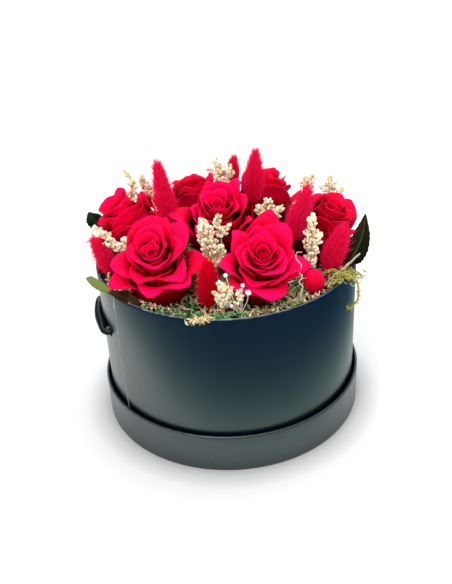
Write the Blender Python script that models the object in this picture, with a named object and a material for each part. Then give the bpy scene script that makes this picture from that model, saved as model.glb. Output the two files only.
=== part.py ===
"""A round paper-covered gift box standing in its upturned lid, filled with preserved flowers.

Metres, +Z up. The base of the lid rests on z = 0 and the box axis is the Z axis. One cord handle
is on the -X side of the wall; the other is near +X, set a little round towards the back.
"""

import math

import bmesh
import bpy
from mathutils import Vector

MM = 0.001
TAU = 2.0 * math.pi

# Box and lid
RIM_SEGMENTS = 72
BOX_OUTER_RADIUS = 100.0
BOARD = 2.0
BOX_INNER_RADIUS = BOX_OUTER_RADIUS - BOARD
BOX_HEIGHT = 130.5
LID_OUTER_RADIUS = 103.9
LID_INNER_RADIUS = LID_OUTER_RADIUS - BOARD
LID_HEIGHT = 31.7
GAP = 0.3
EDGE = 0.4
BOX_BOTTOM = BOARD + GAP

# Cord handles
CORD_RADIUS = 2.5
CORD_HOLE_RADIUS = 3.4
HANDLE_HEIGHT = 90.0
HOLE_HALF_SPACING = 26.0
HANDLE_REACH = 104.2
BOARD_MIDDLE = BOX_OUTER_RADIUS - BOARD / 2.0
HOLE_ANGLE = math.degrees(math.asin(HOLE_HALF_SPACING / BOARD_MIDDLE))
CHORD_REACH = math.sqrt(BOARD_MIDDLE**2 - HOLE_HALF_SPACING**2)
KNOT_DEPTH = 5.0
# name: direction of the handle's middle in degrees, and which way round its front hole lies
HANDLES = {"left": (180.0, 1), "right": (13.0, -1)}

# Filling
FOAM_RADIUS = 97.4
FOAM_BOTTOM = BOX_BOTTOM + BOARD + GAP
FOAM_TOP = 106.0
FOAM_BRICK_WIDTH = 80.0
MOSS_RADIUS = 97.2
MOSS_BOTTOM = FOAM_TOP + GAP
STEM_FOOT = 66.0
STEM_CLEARANCE = 0.35
# Stems stay upright to just above the moss.
MOSS_CLEAR = 125.5

# The arrangement is turned a little against the handles.
ARRANGEMENT_TURN = math.radians(-11.0)

# name: centre, radius, half height, tilt in degrees, the way it tilts in degrees, foot
ROSES = {
    "front_left": ((-51, -39, 146), 29.0, 26.0, 18, -105, (-48, -34)),
    "front_right": ((27, -52, 149), 28.0, 25.0, 27, -65, (24, -46)),
    "centre": ((-3, -2, 165), 26.0, 24.0, 20, -85, (-3, 1)),
    "left": ((-71, 18, 147), 28.0, 25.0, 20, 160, (-66, 17)),
    "back_left": ((-24, 59, 149), 27.0, 25.0, 16, 110, (-22, 55)),
    "back_right": ((34, 59, 150), 27.0, 25.0, 16, 70, (32, 55)),
    "right": ((72, 7, 148), 27.5, 25.0, 18, 0, (67, 7)),
}

# name: foot, start of the tuft, tip, tuft radius
TAILS = {
    "tall_left": ((-41, -4), (-41, -4, 156), (-47, 8, 203), 6.0),
    "tall_back": ((21, 27), (24, 26, 158), (27, 34, 198), 5.8),
    "back": ((6, 74), (8, 76, 150), (12, 78, 177), 4.2),
    "right_inner": ((50, -22), (51, -22, 152), (60, -13, 184), 5.6),
    "right_front": ((73, -37), (73, -37, 130), (84, -28, 160), 7.0),
    "front": ((-14, -66), (-14, -66, 127), (-12, -60, 153), 5.6),
    "left_front": ((-82, -22), (-84, -22, 128), (-95, -15, 155), 4.6),
    "left_back": ((-55, 59), (-57, 60, 142), (-64, 60, 167), 3.4),
}

# name: foot, start of the head, tip, head radius
SPRIGS = {
    "left": ((-72, -13), (-76, -13, 146), (-84, -12, 164), 4.0),
    "left_back": ((-68, 52), (-71, 52, 154), (-78, 52, 180), 4.2),
    "left_inner": ((-47, 38), (-52, 40, 160), (-60, 44, 179), 3.4),
    "back": ((4, 34), (3, 34, 168), (-1, 37, 193), 7.2),
    "middle": ((34, 7), (34, 7, 154), (35, 6, 170), 7.0),
    "front_spike": ((-12, -42), (-10, -44, 139), (-17, -38, 176), 5.2),
    "front_small": ((1, -35), (1, -35, 158), (-3, -32, 175), 3.2),
    "front_low": ((-4, -79), (-4, -79, 131), (-2, -77, 151), 5.6),
    "front_white": ((11, -86), (11, -86, 130), (15, -84, 146), 4.0),
    "right_spike": ((61, -41), (62, -41, 137), (63, -39, 176), 4.2),
    "right_back": ((63, 46), (65, 47, 152), (71, 49, 168), 4.2),
    "right_far": ((80, 44), (84, 45, 150), (90, 45, 170), 6.0),
}

# name: path from the foam to the tip, with the half width of the blade at each point
LEAVES = {
    "left": (
        ((-80, 46, STEM_FOOT), 1.0),
        ((-80, 46, 126), 1.0),
        ((-87, 42, 132), 1.8),
        ((-97, 37, 135.5), 6.0),
        ((-104, 33, 142), 8.5),
        ((-108, 29, 150), 6.5),
        ((-110, 26, 158), 0.8),
    ),
    "front_left": (
        ((-62, -71, STEM_FOOT), 1.0),
        ((-62, -71, 119), 1.0),
        ((-63, -70.5, 131.5), 1.2),
        ((-72, -66, 134.8), 6.0),
        ((-84, -60, 135.5), 8.5),
        ((-93, -52, 136), 7.0),
        ((-101, -43, 138), 0.8),
    ),
    "right": (
        ((88, -28, STEM_FOOT), 1.0),
        ((88, -28, 126), 1.0),
        ((90, -31, 131.5), 1.8),
        ((95, -32, 136), 8.0),
        ((101, -27, 142), 11.0),
        ((105, -19, 150), 8.0),
        ((107.5, -7, 158), 0.8),
    ),
}


def material(name, colour, roughness):
    made = bpy.data.materials.new(name)
    made.use_nodes = True
    shader = made.node_tree.nodes["Principled BSDF"]
    shader.inputs["Base Color"].default_value = (*colour, 1.0)
    shader.inputs["Roughness"].default_value = roughness
    return made


def turned(x, y, z):
    """A point of the arrangement, in the box's frame."""
    c, s = math.cos(ARRANGEMENT_TURN), math.sin(ARRANGEMENT_TURN)
    return Vector((x * c - y * s, x * s + y * c, z))


def polar(degrees, reach, z):
    angle = math.radians(degrees)
    return Vector((reach * math.cos(angle), reach * math.sin(angle), z))


def add_object(name, verts, faces, mat, smooth=True, origin=(0, 0, 0)):
    origin = Vector(origin)
    mesh = bpy.data.meshes.new(name)
    mesh.from_pydata([(Vector(v) - origin) * MM for v in verts], [], faces)
    mesh.materials.append(mat)
    bm = bmesh.new()
    bm.from_mesh(mesh)
    bmesh.ops.recalc_face_normals(bm, faces=bm.faces)
    bm.to_mesh(mesh)
    bm.free()
    if smooth:
        mesh.shade_smooth()
    made = bpy.data.objects.new(name, mesh)
    made.location = origin * MM
    bpy.context.collection.objects.link(made)
    return made


def ring_faces(rings, sides):
    faces = []
    for ring in range(rings - 1):
        for side in range(sides):
            a = ring * sides + side
            b = ring * sides + (side + 1) % sides
            faces.append((a, b, b + sides, a + sides))
    return faces


def lathe(name, profile, sides, mat, hollow):
    """A profile of (radius, z) turned about Z: a hollow one is a closed loop."""
    verts = []
    for radius, z in profile:
        for side in range(sides):
            angle = TAU * side / sides
            verts.append((radius * math.cos(angle), radius * math.sin(angle), z))
    faces = ring_faces(len(profile), sides)
    last = (len(profile) - 1) * sides
    if hollow:
        for side in range(sides):
            nxt = (side + 1) % sides
            faces.append((last + side, last + nxt, nxt, side))
    else:
        faces.append(tuple(range(sides)))
        faces.append(tuple(last + side for side in range(sides)))
    return add_object(name, verts, faces, mat)


def swept(name, stations, sides, mat, across=(1, 0, 0), lump=0.0, origin=(0, 0, 0)):
    """A closed tube through (point, half width, half thickness), its width laid along across."""
    points = [Vector(point) for point, _, _ in stations]
    verts = []
    for index, (_, wide, thick) in enumerate(stations):
        before = points[max(index - 1, 0)]
        after = points[min(index + 1, len(points) - 1)]
        along = (after - before).normalized()
        side_way = Vector(across)
        side_way = (side_way - along * side_way.dot(along)).normalized()
        up_way = along.cross(side_way)
        for side in range(sides):
            angle = TAU * side / sides
            swell = 1.0 + lump * (1 if (side + index) % 2 else -1)
            verts.append(
                points[index]
                + side_way * (wide * swell * math.cos(angle))
                + up_way * (thick * swell * math.sin(angle))
            )
    faces = ring_faces(len(stations), sides)
    last = (len(stations) - 1) * sides
    faces.append(tuple(range(sides)))
    faces.append(tuple(last + side for side in range(sides)))
    return add_object(name, verts, faces, mat, origin=origin)


def prism(points, bottom, top):
    """Vertices and faces of an upright prism over a polygon."""
    count = len(points)
    verts = [(x, y, bottom) for x, y in points] + [(x, y, top) for x, y in points]
    faces = [(i, (i + 1) % count, count + (i + 1) % count, count + i) for i in range(count)]
    faces.append(tuple(range(count)))
    faces.append(tuple(range(count, 2 * count)))
    return verts, faces


def cut(target, verts, faces):
    """Takes one closed shape out of the target."""
    tool = add_object("cutter", verts, faces, target.data.materials[0], smooth=False)
    modifier = target.modifiers.new("cut", "BOOLEAN")
    modifier.operation = "DIFFERENCE"
    modifier.solver = "EXACT"
    modifier.object = tool
    depsgraph = bpy.context.evaluated_depsgraph_get()
    result = bpy.data.meshes.new_from_object(target.evaluated_get(depsgraph))
    target.modifiers.clear()
    target.data = result
    bpy.data.objects.remove(tool)


def cylinder(start, end, radius, sides):
    start, end = Vector(start), Vector(end)
    along = (end - start).normalized()
    side_way = along.orthogonal().normalized()
    up_way = along.cross(side_way)
    verts = []
    for point in (start, end):
        for side in range(sides):
            angle = TAU * (side + 0.5) / sides
            around = side_way * math.cos(angle) + up_way * math.sin(angle)
            verts.append(point + around * radius)
    faces = ring_faces(2, sides)
    faces.append(tuple(range(sides)))
    faces.append(tuple(sides + side for side in range(sides)))
    return verts, faces


def board_ring(name, inner, outer, bottom, top, mat):
    profile = (
        (inner, bottom),
        (outer - EDGE, bottom),
        (outer, bottom + EDGE),
        (outer, top - EDGE),
        (outer - EDGE, top),
        (inner + EDGE, top),
        (inner, top - EDGE),
    )
    return lathe(name, profile, RIM_SEGMENTS, mat, hollow=True)


def build_box(paper, board):
    board_ring("lid_rim", LID_INNER_RADIUS, LID_OUTER_RADIUS, 0.0, LID_HEIGHT, paper)
    lid_disc = ((LID_INNER_RADIUS - GAP, 0.0), (LID_INNER_RADIUS - GAP, BOARD))
    lathe("lid_disc", lid_disc, RIM_SEGMENTS, paper, hollow=False)
    wall = board_ring("box_wall", BOX_INNER_RADIUS, BOX_OUTER_RADIUS, BOX_BOTTOM, BOX_HEIGHT, paper)
    for middle, _ in HANDLES.values():
        for end in (-1, 1):
            hole_way = middle + end * HOLE_ANGLE
            inside = polar(hole_way, BOARD_MIDDLE - 5.0, HANDLE_HEIGHT)
            outside = polar(hole_way, BOARD_MIDDLE + 5.0, HANDLE_HEIGHT)
            cut(wall, *cylinder(inside, outside, CORD_HOLE_RADIUS, 12))
    base_radius = BOX_INNER_RADIUS - GAP
    base = ((base_radius, BOX_BOTTOM), (base_radius, BOX_BOTTOM + BOARD))
    lathe("box_base", base, RIM_SEGMENTS, board, hollow=False)


def build_handle(name, middle, cord):
    """A short cord loop that comes out of two holes and lies round the wall between them."""
    half = (
        (HOLE_ANGLE, 98.5),
        (HOLE_ANGLE, 100.6),
        (HOLE_ANGLE - 0.8, 102.9),
        (HOLE_ANGLE - 2.6, 103.9),
        (HOLE_ANGLE - 6.0, 104.0),
        (HOLE_ANGLE - 10.5, 104.1),
    )
    whole = [(-angle, reach) for angle, reach in half]
    whole.append((0.0, HANDLE_REACH))
    whole += reversed(half)
    stations = []
    for angle, reach in whole:
        stations.append((polar(middle + angle, reach, HANDLE_HEIGHT), CORD_RADIUS, CORD_RADIUS))
    pivot = polar(middle, CHORD_REACH, HANDLE_HEIGHT)
    swept(name, stations, 10, cord, across=(0, 0, 1), origin=pivot)


def build_knot(name, hole_way, cord):
    middle_reach = BOARD_MIDDLE - KNOT_DEPTH
    stations = []
    for depth, radius in ((-3.2, 1.4), (-2.0, 3.4), (0.0, 4.2), (2.0, 3.4), (3.2, 1.4)):
        stations.append((polar(hole_way, middle_reach + depth, HANDLE_HEIGHT), radius, radius))
    swept(name, stations, 10, cord, across=(0, 0, 1))
    return polar(hole_way, middle_reach, HANDLE_HEIGHT)


def circle_slice(x_low, x_high, radius, steps):
    """The part of a circle between two x values, as a polygon."""
    points = []
    for sign in (-1, 1):
        xs = [x_low + (x_high - x_low) * step / steps for step in range(steps + 1)]
        if sign > 0:
            xs.reverse()
        for x in xs:
            y = sign * math.sqrt(max(radius**2 - x**2, 0.0))
            if not points or abs(points[-1][0] - x) + abs(points[-1][1] - y) > 0.01:
                points.append((x, y))
    return points


def build_foam(feet, knots, foam):
    half = FOAM_BRICK_WIDTH / 2.0
    slices = {
        "foam_left": (-FOAM_RADIUS, -half - 0.15),
        "foam_middle": (-half + 0.15, half - 0.15),
        "foam_right": (half + 0.15, FOAM_RADIUS),
    }
    for name, (x_low, x_high) in slices.items():
        outline = circle_slice(x_low, x_high, FOAM_RADIUS, 10)
        if abs(outline[0][0] - outline[-1][0]) + abs(outline[0][1] - outline[-1][1]) < 0.01:
            outline.pop()
        verts, faces = prism(outline, FOAM_BOTTOM, FOAM_TOP)
        brick = add_object(name, verts, faces, foam, smooth=False)
        for (x, y), radius in feet:
            if x_low - 6.0 < x < x_high + 6.0:
                low, high = (x, y, STEM_FOOT - 1.0), (x, y, FOAM_TOP + 5.0)
                cut(brick, *cylinder(low, high, radius + STEM_CLEARANCE, 8))
        for knot in knots:
            if x_low - 8.0 < knot.x < x_high + 8.0:
                outward = Vector((knot.x, knot.y, 0.0)).normalized()
                cut(brick, *cylinder(knot - outward * 4.5, knot + outward * 20.0, 5.2, 8))


def build_moss(feet, moss):
    """A low ring-shaped mound that is highest against the wall."""
    sides = 48
    rings = ((0.0, 113.0), (30.0, 113.5), (58.0, 114.5), (76.0, 117.5), (89.0, 122.5), (MOSS_RADIUS, 124.5))
    verts = [(0.0, 0.0, rings[0][1])]
    for index, (radius, height) in enumerate(rings[1:]):
        for side in range(sides):
            angle = TAU * side / sides
            lump = 0.5 * math.sin(7 * angle + index) + 0.5 * math.sin(11 * angle + 2.3 * index)
            z = height + lump
            verts.append((radius * math.cos(angle), radius * math.sin(angle), z))
    for side in range(sides):
        angle = TAU * side / sides
        verts.append((MOSS_RADIUS * math.cos(angle), MOSS_RADIUS * math.sin(angle), MOSS_BOTTOM))
    faces = [(0, 1 + side, 1 + (side + 1) % sides) for side in range(sides)]
    for a, b, c, d in ring_faces(len(rings), sides):
        faces.append((a + 1, b + 1, c + 1, d + 1))
    last = 1 + (len(rings) - 1) * sides
    faces.append(tuple(last + side for side in range(sides)))
    bed = add_object("moss_bed", verts, faces, moss)
    for (x, y), radius in feet:
        low, high = (x, y, MOSS_BOTTOM - 3.0), (x, y, 150.0)
        cut(bed, *cylinder(low, high, radius, 8))


def rose_axis(tilt, way):
    lean = math.radians(tilt)
    toward = turned(math.cos(math.radians(way)), math.sin(math.radians(way)), 0.0)
    return Vector((0, 0, 1)) * math.cos(lean) + toward * math.sin(lean)


def build_rose(name, centre, radius, half_height, axis, petals):
    """Three rings of lipped petals round a bud, as one closed body."""
    # share of the radius, share of the half height, petals in the ring, wave of the lip
    layers = (
        (0.28, -1.00, 5, 0.00),
        (0.62, -0.80, 5, 0.02),
        (0.88, -0.35, 5, 0.04),
        (0.97, 0.22, 5, 0.07),
        (0.80, 0.18, 5, 0.04),
        (0.74, 0.62, 5, 0.06),
        (0.58, 0.52, 4, 0.05),
        (0.50, 0.86, 4, 0.06),
        (0.36, 0.74, 4, 0.04),
        (0.26, 0.96, 3, 0.05),
        (0.12, 0.86, 3, 0.00),
    )
    sides = 20
    side_way = axis.orthogonal().normalized()
    up_way = axis.cross(side_way)
    verts = []
    for index, (out, height, count, wave) in enumerate(layers):
        for side in range(sides):
            angle = TAU * side / sides
            ripple = math.cos(count * angle + 1.3 * index)
            reach = radius * (out + wave * ripple - (wave if out > 0.9 else 0.0))
            z = half_height * (height + (0.6 * wave * ripple if wave else 0.0))
            around = side_way * math.cos(angle) + up_way * math.sin(angle)
            verts.append(centre + around * reach + axis * z)
    faces = ring_faces(len(layers), sides)
    last = (len(layers) - 1) * sides
    faces.append(tuple(range(sides)))
    faces.append(tuple(last + side for side in range(sides)))
    add_object(name, verts, faces, petals)


def build_rose_stem(name, foot, head_bottom, axis, stem):
    seat = head_bottom - axis * GAP
    neck = seat - axis * 5.0
    stations = (
        (Vector((foot.x, foot.y, STEM_FOOT)), 2.4, 2.4),
        (Vector((foot.x, foot.y, FOAM_TOP)), 2.4, 2.4),
        (Vector((foot.x, foot.y, FOAM_TOP)).lerp(neck, 0.5), 2.4, 2.4),
        (neck, 3.2, 3.2),
        (seat, 7.0, 7.0),
    )
    swept(name, stations, 8, stem)


def upright_stations(foot, stem_radius):
    low = Vector((foot.x, foot.y, STEM_FOOT))
    top = Vector((foot.x, foot.y, MOSS_CLEAR))
    return [(low, stem_radius, stem_radius), (top, stem_radius, stem_radius)]


def tuft_stations(start, tip, shape, radius):
    return [(start.lerp(tip, t), radius * share, radius * share) for t, share in shape]


TAIL_SHAPE = ((0.0, 0.18), (0.06, 0.60), (0.25, 0.95), (0.5, 1.0), (0.75, 0.72), (0.92, 0.36), (1.0, 0.08))
SPRIG_SHAPE = ((0.0, 0.16), (0.12, 0.60), (0.35, 0.95), (0.6, 1.0), (0.85, 0.65), (1.0, 0.16))


def main():
    for item in list(bpy.data.objects):
        bpy.data.objects.remove(item)

    paper = material("black_paper", (0.015, 0.02, 0.024), 0.45)
    board = material("grey_board", (0.19, 0.18, 0.16), 0.85)
    cord = material("black_cord", (0.008, 0.009, 0.012), 0.6)
    foam = material("floral_foam", (0.10, 0.19, 0.09), 0.95)
    moss = material("moss", (0.20, 0.19, 0.08), 0.95)
    petals = material("rose_petals", (0.75, 0.005, 0.07), 0.6)
    stems = material("flower_stems", (0.16, 0.20, 0.07), 0.7)
    tails = material("dyed_tails", (0.62, 0.003, 0.05), 0.8)
    sprigs = material("cream_sprigs", (0.72, 0.50, 0.27), 0.8)
    leaf = material("preserved_leaves", (0.02, 0.04, 0.015), 0.45)
    twig = material("dry_twigs", (0.45, 0.32, 0.17), 0.85)
    curl = material("yellow_moss", (0.42, 0.44, 0.06), 0.85)

    build_box(paper, board)
    knots = []
    for label, (middle, front) in HANDLES.items():
        build_handle(f"handle_cord_{label}", middle, cord)
        for end, where in ((front, "front"), (-front, "back")):
            knots.append(build_knot(f"cord_knot_{label}_{where}", middle + end * HOLE_ANGLE, cord))

    foam_feet = []
    moss_feet = []

    for label, (place, radius, half_height, tilt, way, foot) in ROSES.items():
        axis = rose_axis(tilt, way)
        centre = turned(*place)
        build_rose(f"rose_head_{label}", centre, radius, half_height, axis, petals)
        root = turned(*foot, 0.0)
        build_rose_stem(f"rose_stem_{label}", root, centre - axis * half_height, axis, stems)
        foam_feet.append(((root.x, root.y), 2.4))
        moss_feet.append(((root.x, root.y), 11.0))

    for kind, table, shape, mat, stem_radius, lump in (
        ("tail", TAILS, TAIL_SHAPE, tails, 0.9, 0.0),
        ("sprig", SPRIGS, SPRIG_SHAPE, sprigs, 0.8, 0.12),
    ):
        for label, (foot, start, tip, radius) in table.items():
            root = turned(*foot, 0.0)
            begin, end = turned(*start), turned(*tip)
            stations = upright_stations(root, stem_radius)
            stations += tuft_stations(begin, end, shape, radius)
            swept(f"{kind}_{label}", stations, 8, mat, lump=lump)
            foam_feet.append(((root.x, root.y), stem_radius))
            moss_feet.append(((root.x, root.y), stem_radius + 1.2))

    for label, path in LEAVES.items():
        stations = []
        for point, wide in path:
            stations.append((turned(*point), wide, min(wide, 0.6)))
        first, last = turned(*path[0][0]), turned(*path[-1][0])
        outward = (last - first) * Vector((1, 1, 0))
        across = outward.cross(Vector((0, 0, 1))).normalized()
        swept(f"leaf_{label}", stations, 8, leaf, across=across)
        foam_feet.append(((first.x, first.y), 1.0))
        moss_feet.append(((first.x, first.y), 2.6))

    loose = {
        # name: path of (x, y, z, half width, half thickness), material
        "petal_loose": (
            (
                (57, -64, STEM_FOOT, 0.7, 0.7),
                (57, -64, 122, 0.7, 0.7),
                (58, -65, 127, 5.0, 3.5),
                (59, -65, 132, 8.5, 5.5),
                (60, -63, 138, 8.0, 5.0),
                (61, -61, 142, 3.0, 2.0),
            ),
            petals,
        ),
        "twig_right": (
            (
                (74, -54, STEM_FOOT, 0.8, 0.8),
                (74, -54, 124, 0.8, 0.8),
                (78, -50, 131, 0.9, 0.9),
                (88, -43, 136, 0.8, 0.8),
                (97.5, -36.5, 140.5, 0.5, 0.5),
            ),
            twig,
        ),
        "tendril_front": (
            (
                (50, -77, STEM_FOOT, 0.6, 0.6),
                (50, -77, 124, 0.6, 0.6),
                (51, -76, 131, 0.6, 0.6),
                (53, -69, 140, 0.6, 0.6),
                (55, -61, 147, 0.6, 0.6),
                (54, -55, 152, 0.5, 0.5),
            ),
            twig,
        ),
        "moss_curl": (
            (
                (79, -45, STEM_FOOT, 0.8, 0.8),
                (79, -45, 125, 0.8, 0.8),
                (82, -52, 133.5, 0.8, 0.8),
                (87, -57, 134, 0.8, 0.8),
                (92, -57, 128, 0.8, 0.8),
                (94, -55, 120, 0.8, 0.8),
                (93.5, -53.5, 112, 0.8, 0.8),
                (90, -53, 105.5, 0.8, 0.8),
                (87, -55, 106, 0.7, 0.7),
                (85.5, -57, 109, 0.5, 0.5),
            ),
            curl,
        ),
    }
    for label, (path, mat) in loose.items():
        stations = [(turned(x, y, z), wide, thick) for x, y, z, wide, thick in path]
        swept(label, stations, 8, mat, across=(0.77, 0.64, 0.05))
        first = stations[0][0]
        foam_feet.append(((first.x, first.y), path[0][3]))
        moss_feet.append(((first.x, first.y), path[0][3] + 1.2))

    build_foam(foam_feet, knots, foam)
    build_moss(moss_feet, moss)


main()
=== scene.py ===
"""Looks of the flower box: a black paper hat box in its upturned lid, filled with preserved flowers.

Lengths are in millimetres until a mesh is made, and in metres on the stage. The box axis is Z, and the
lid stands on z = 0.
"""

import math

import bmesh
import bpy
import numpy as np
from mathutils import Matrix, Vector


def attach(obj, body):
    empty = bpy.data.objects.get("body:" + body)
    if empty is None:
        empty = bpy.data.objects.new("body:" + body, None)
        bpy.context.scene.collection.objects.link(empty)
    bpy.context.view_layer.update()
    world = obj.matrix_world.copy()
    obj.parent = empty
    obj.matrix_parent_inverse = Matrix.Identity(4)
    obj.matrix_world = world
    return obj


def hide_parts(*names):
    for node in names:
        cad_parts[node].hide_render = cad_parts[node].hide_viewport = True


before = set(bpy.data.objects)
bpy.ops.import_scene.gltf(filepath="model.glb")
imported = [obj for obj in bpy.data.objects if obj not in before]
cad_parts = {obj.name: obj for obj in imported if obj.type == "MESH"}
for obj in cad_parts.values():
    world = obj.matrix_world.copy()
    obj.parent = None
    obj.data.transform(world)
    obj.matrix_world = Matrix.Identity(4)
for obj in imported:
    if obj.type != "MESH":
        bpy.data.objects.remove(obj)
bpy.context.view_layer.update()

MM = 0.001
TAU = 2.0 * math.pi

# Box and lid, as in the CAD nodes
BOX_OUTER_RADIUS = 100.0
BOARD = 2.0
BOX_BOTTOM = 2.3
BOX_HEIGHT = 130.5
LID_OUTER_RADIUS = 103.9
LID_HEIGHT = 31.7
HANDLE_HEIGHT = 90.0
HOLE_HALF_SPACING = 26.0
HOLE_ANGLE = math.degrees(math.asin(HOLE_HALF_SPACING / (BOX_OUTER_RADIUS - BOARD / 2)))
HOLE_RADIUS = 3.3
CORD_RADIUS = 2.5
HANDLE_REACH = 104.2
KNOT_REACH = 94.0
# name: the way its middle faces, and which turn leads to its front hole
HANDLES = {"left": (180.0, 1), "right": (13.0, -1)}
SEAM_ANGLE = -155.7
# dried glue on the seam: height, how far aside, and its half sizes
GLUE_BEADS = (
    (121.0, 0.5, (0.5, 1.0, 2.2)),
    (118.3, 0.9, (0.4, 0.6, 1.3)),
    (124.6, 0.1, (0.4, 0.6, 1.6)),
)

FOAM_TOP = 106.0
STEM_FOOT = 66.0
MOSS_RADIUS = 97.2
# distances from the axis, and the moss cushion's height there
MOSS_PROFILE = ((0.0, 30.0, 58.0, 76.0, 89.0, 97.2), (113.0, 113.5, 114.5, 117.5, 122.5, 124.5))
# the part of the ring where strands of moss are sown, and where they pile up against the wall
MOSS_SOWN = (8.0, 95.6)
MOSS_PILE = (78, 94)

# The arrangement is turned a little against the handles.
ARRANGEMENT_TURN = math.radians(-11.0)

# name: centre, radius, tilt, the way it tilts, spin, petals, how open, seed
ROSES = {
    "front_left": ((-50, -42, 139.5), 32.5, 22, -105, 20, 24, 1.06, 211),
    "front_right": ((23.5, -54, 141.0), 29.5, 27, -75, 75, 25, 1.0, 400),
    "centre": ((-4, -2, 154.5), 30.0, 18, -90, 140, 19, 0.80, 95),
    "left": ((-71, 17, 144), 34.0, 34, 165, 10, 19, 0.60, 80),
    "back_left": ((-22, 59, 142), 30.0, 26, 120, 230, 20, 0.75, 59),
    "back_right": ((35, 59, 143), 29.5, 24, 65, 300, 20, 0.75, 61),
    "right": ((74, 6, 139.5), 30.5, 26, 5, 190, 21, 0.74, 53),
}

# name: foot, start of the tuft, tip, tuft radius, hairs, tone
TAILS = {
    "tall_left": ((-41, -4), (-40, -4, 150), (-47, 8, 200), 7.4, 3900, 0.0),
    "tall_back": ((21, 27), (23, 26, 156), (27, 34, 195), 6.8, 3400, 0.0),
    "back": ((6, 74), (8, 76, 150), (11, 78, 175), 4.8, 1700, 0.05),
    "right_inner": ((50, -22), (48, -22, 146), (62, -13, 182), 7.6, 3400, 0.08),
    "right_front": ((73, -37), (73, -37, 127), (86, -29, 157), 7.6, 3400, 0.0),
    "front": ((-14, -66), (-14, -66, 120), (-13, -60, 151), 6.8, 3000, -0.38),
    "left_front": ((-82, -22), (-85, -22, 126), (-97, -15, 152), 5.6, 2600, 0.05),
    "left_back": ((-55, 59), (-57, 60, 142), (-64, 60, 167), 3.6, 1200, 0.1),
}

# name: foot, then arms of buds: start, tip, radius, buds
SPRIGS = {
    "left": (
        (-72, -13),
        ((-77, -26, 148), (-94, -24, 168), 3.8, 78),
        ((-77, -26, 148), (-67, -27, 161), 4.2, 54),
    ),
    "left_back": (
        (-68, 52),
        ((-75, 52, 152), (-71, 52, 172), 4.6, 60),
        ((-71, 52, 170), (-78, 52, 180), 2.0, 12),
        ((-75, 52, 160), (-84, 52, 164), 1.5, 8),
    ),
    "left_inner": ((-47, 38), ((-57, 42, 158), (-64, 42, 179), 3.6, 44)),
    "back": (
        (4, 34),
        ((0, 36, 165), (0, 36, 187), 6.6, 110),
        ((-2, 36, 178), (-4, 36, 192), 3.2, 36),
        ((3, 36, 170), (8, 36, 186), 3.6, 44),
        ((-5, 36, 177), (-11, 36, 185), 1.8, 12),
    ),
    "middle": (
        (34, 7),
        ((35, 6, 151), (25.5, 6, 164), 4.4, 60),
        ((35, 6, 151), (34, 6, 169), 5.4, 84),
        ((35, 6, 151), (44.5, 6, 162), 4.4, 60),
    ),
    "front_spike": (
        (-12, -42),
        ((-7, -44, 138), (-16, -37, 175), 7.4, 190),
        ((-13, -41, 158), (-12, -37, 174), 2.2, 18),
        ((-7, -44, 142), (-2, -42, 157), 3.8, 46),
    ),
    "front_small": (
        (1, -35),
        ((-3, -33, 158), (-5, -33, 176), 3.4, 36),
        ((-2, -33, 160), (4, -33, 168), 2.6, 20),
    ),
    "front_low": (
        (-4, -79),
        ((-3, -80, 128), (-3, -80, 146), 5.0, 60),
        ((-3, -80, 130), (-11, -80, 140), 3.2, 24),
        ((-3, -80, 130), (-5, -80, 149), 2.8, 18),
        ((-3, -80, 130), (3, -80, 142), 3.2, 22),
    ),
    "front_white": ((11, -86), ((6, -86, 132), (8, -86, 145), 2.8, 16)),
    "right_spike": (
        (61, -41),
        ((61, -41, 132), (62, -39, 175), 5.6, 160),
        ((62, -40, 148), (68, -40, 160), 3.2, 40),
    ),
    "right_back": (
        (63, 46),
        ((69, 48, 155), (63, 48, 165), 3.0, 28),
        ((69, 48, 155), (67.5, 48, 168), 3.0, 28),
        ((70, 48, 155), (73.5, 48, 169), 2.8, 26),
    ),
    "right_far": (
        (80, 44),
        ((91, 45, 143), (86, 45, 169), 5.8, 96),
        ((91, 45, 144), (97, 45, 158), 4.2, 50),
        ((90, 45, 145), (80, 45, 160), 3.8, 46),
    ),
}
# roses that sit in shade: how much painted shade darkens their petals
PAINTED_SHADE = {"right": 0.22, "back_left": 0.20, "back_right": 0.18}

# white balls at the front: place and radius
WHITE_BALL_FOOT = (7.0, -86.0, 124.0)
WHITE_BALLS = (
    ((10, -86, 148), 1.3),
    ((13.5, -86, 142), 1.9),
    ((9, -86, 137), 1.2),
    ((2, -88, 133.5), 1.3),
    ((-1, -80, 153), 1.4),
)

# name: spine, half widths along it, the way across, where the tip colour comes in, fold, cup, teeth
LEAVES = {
    "left": (
        ((-80, 46, 126), (-86, 42, 132), (-94, 37, 137), (-100, 33, 143), (-104, 29, 150), (-106, 26, 157)),
        (1.0, 2.0, 6.0, 7.5, 6.5, 0.6),
        (0.60, 0.10, 0.80),
        (0.7, 1.0),
        0.15, 0.3, 0.12,
    ),
    "front_left": (
        (
            (-62, -71, 126), (-66, -69, 129), (-74, -65.5, 132), (-81, -62, 133.5),
            (-87, -58.5, 134.5), (-94, -51, 135.5), (-100.5, -43, 137),
        ),
        (1.2, 4.5, 6.0, 1.8, 3.7, 4.1, 2.2),
        (0.58, 0.81, 0.1),
        (0.52, 0.60),
        -0.15, 0.4, 0.04,
    ),
    "right": (
        (
            (88, -28, 126), (89, -31, 131.5), (92.5, -32, 136),
            (98, -27, 142), (102.5, -19, 150), (106, -7, 158),
        ),
        (1.0, 4.0, 8.5, 8.5, 6.0, 0.5),
        (0.85, -0.25, -0.45),
        (0.4, 1.0),
        0.3, 0.3, 0.08,
    ),
}


# ---------------------------------------------------------------- mesh tools


def turned(points, turn=ARRANGEMENT_TURN):
    """Points of the arrangement, in the box's frame."""
    c, s = math.cos(turn), math.sin(turn)
    p = np.asarray(points, float)
    out = p.copy()
    out[..., 0] = p[..., 0] * c - p[..., 1] * s
    out[..., 1] = p[..., 0] * s + p[..., 1] * c
    return out


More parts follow.
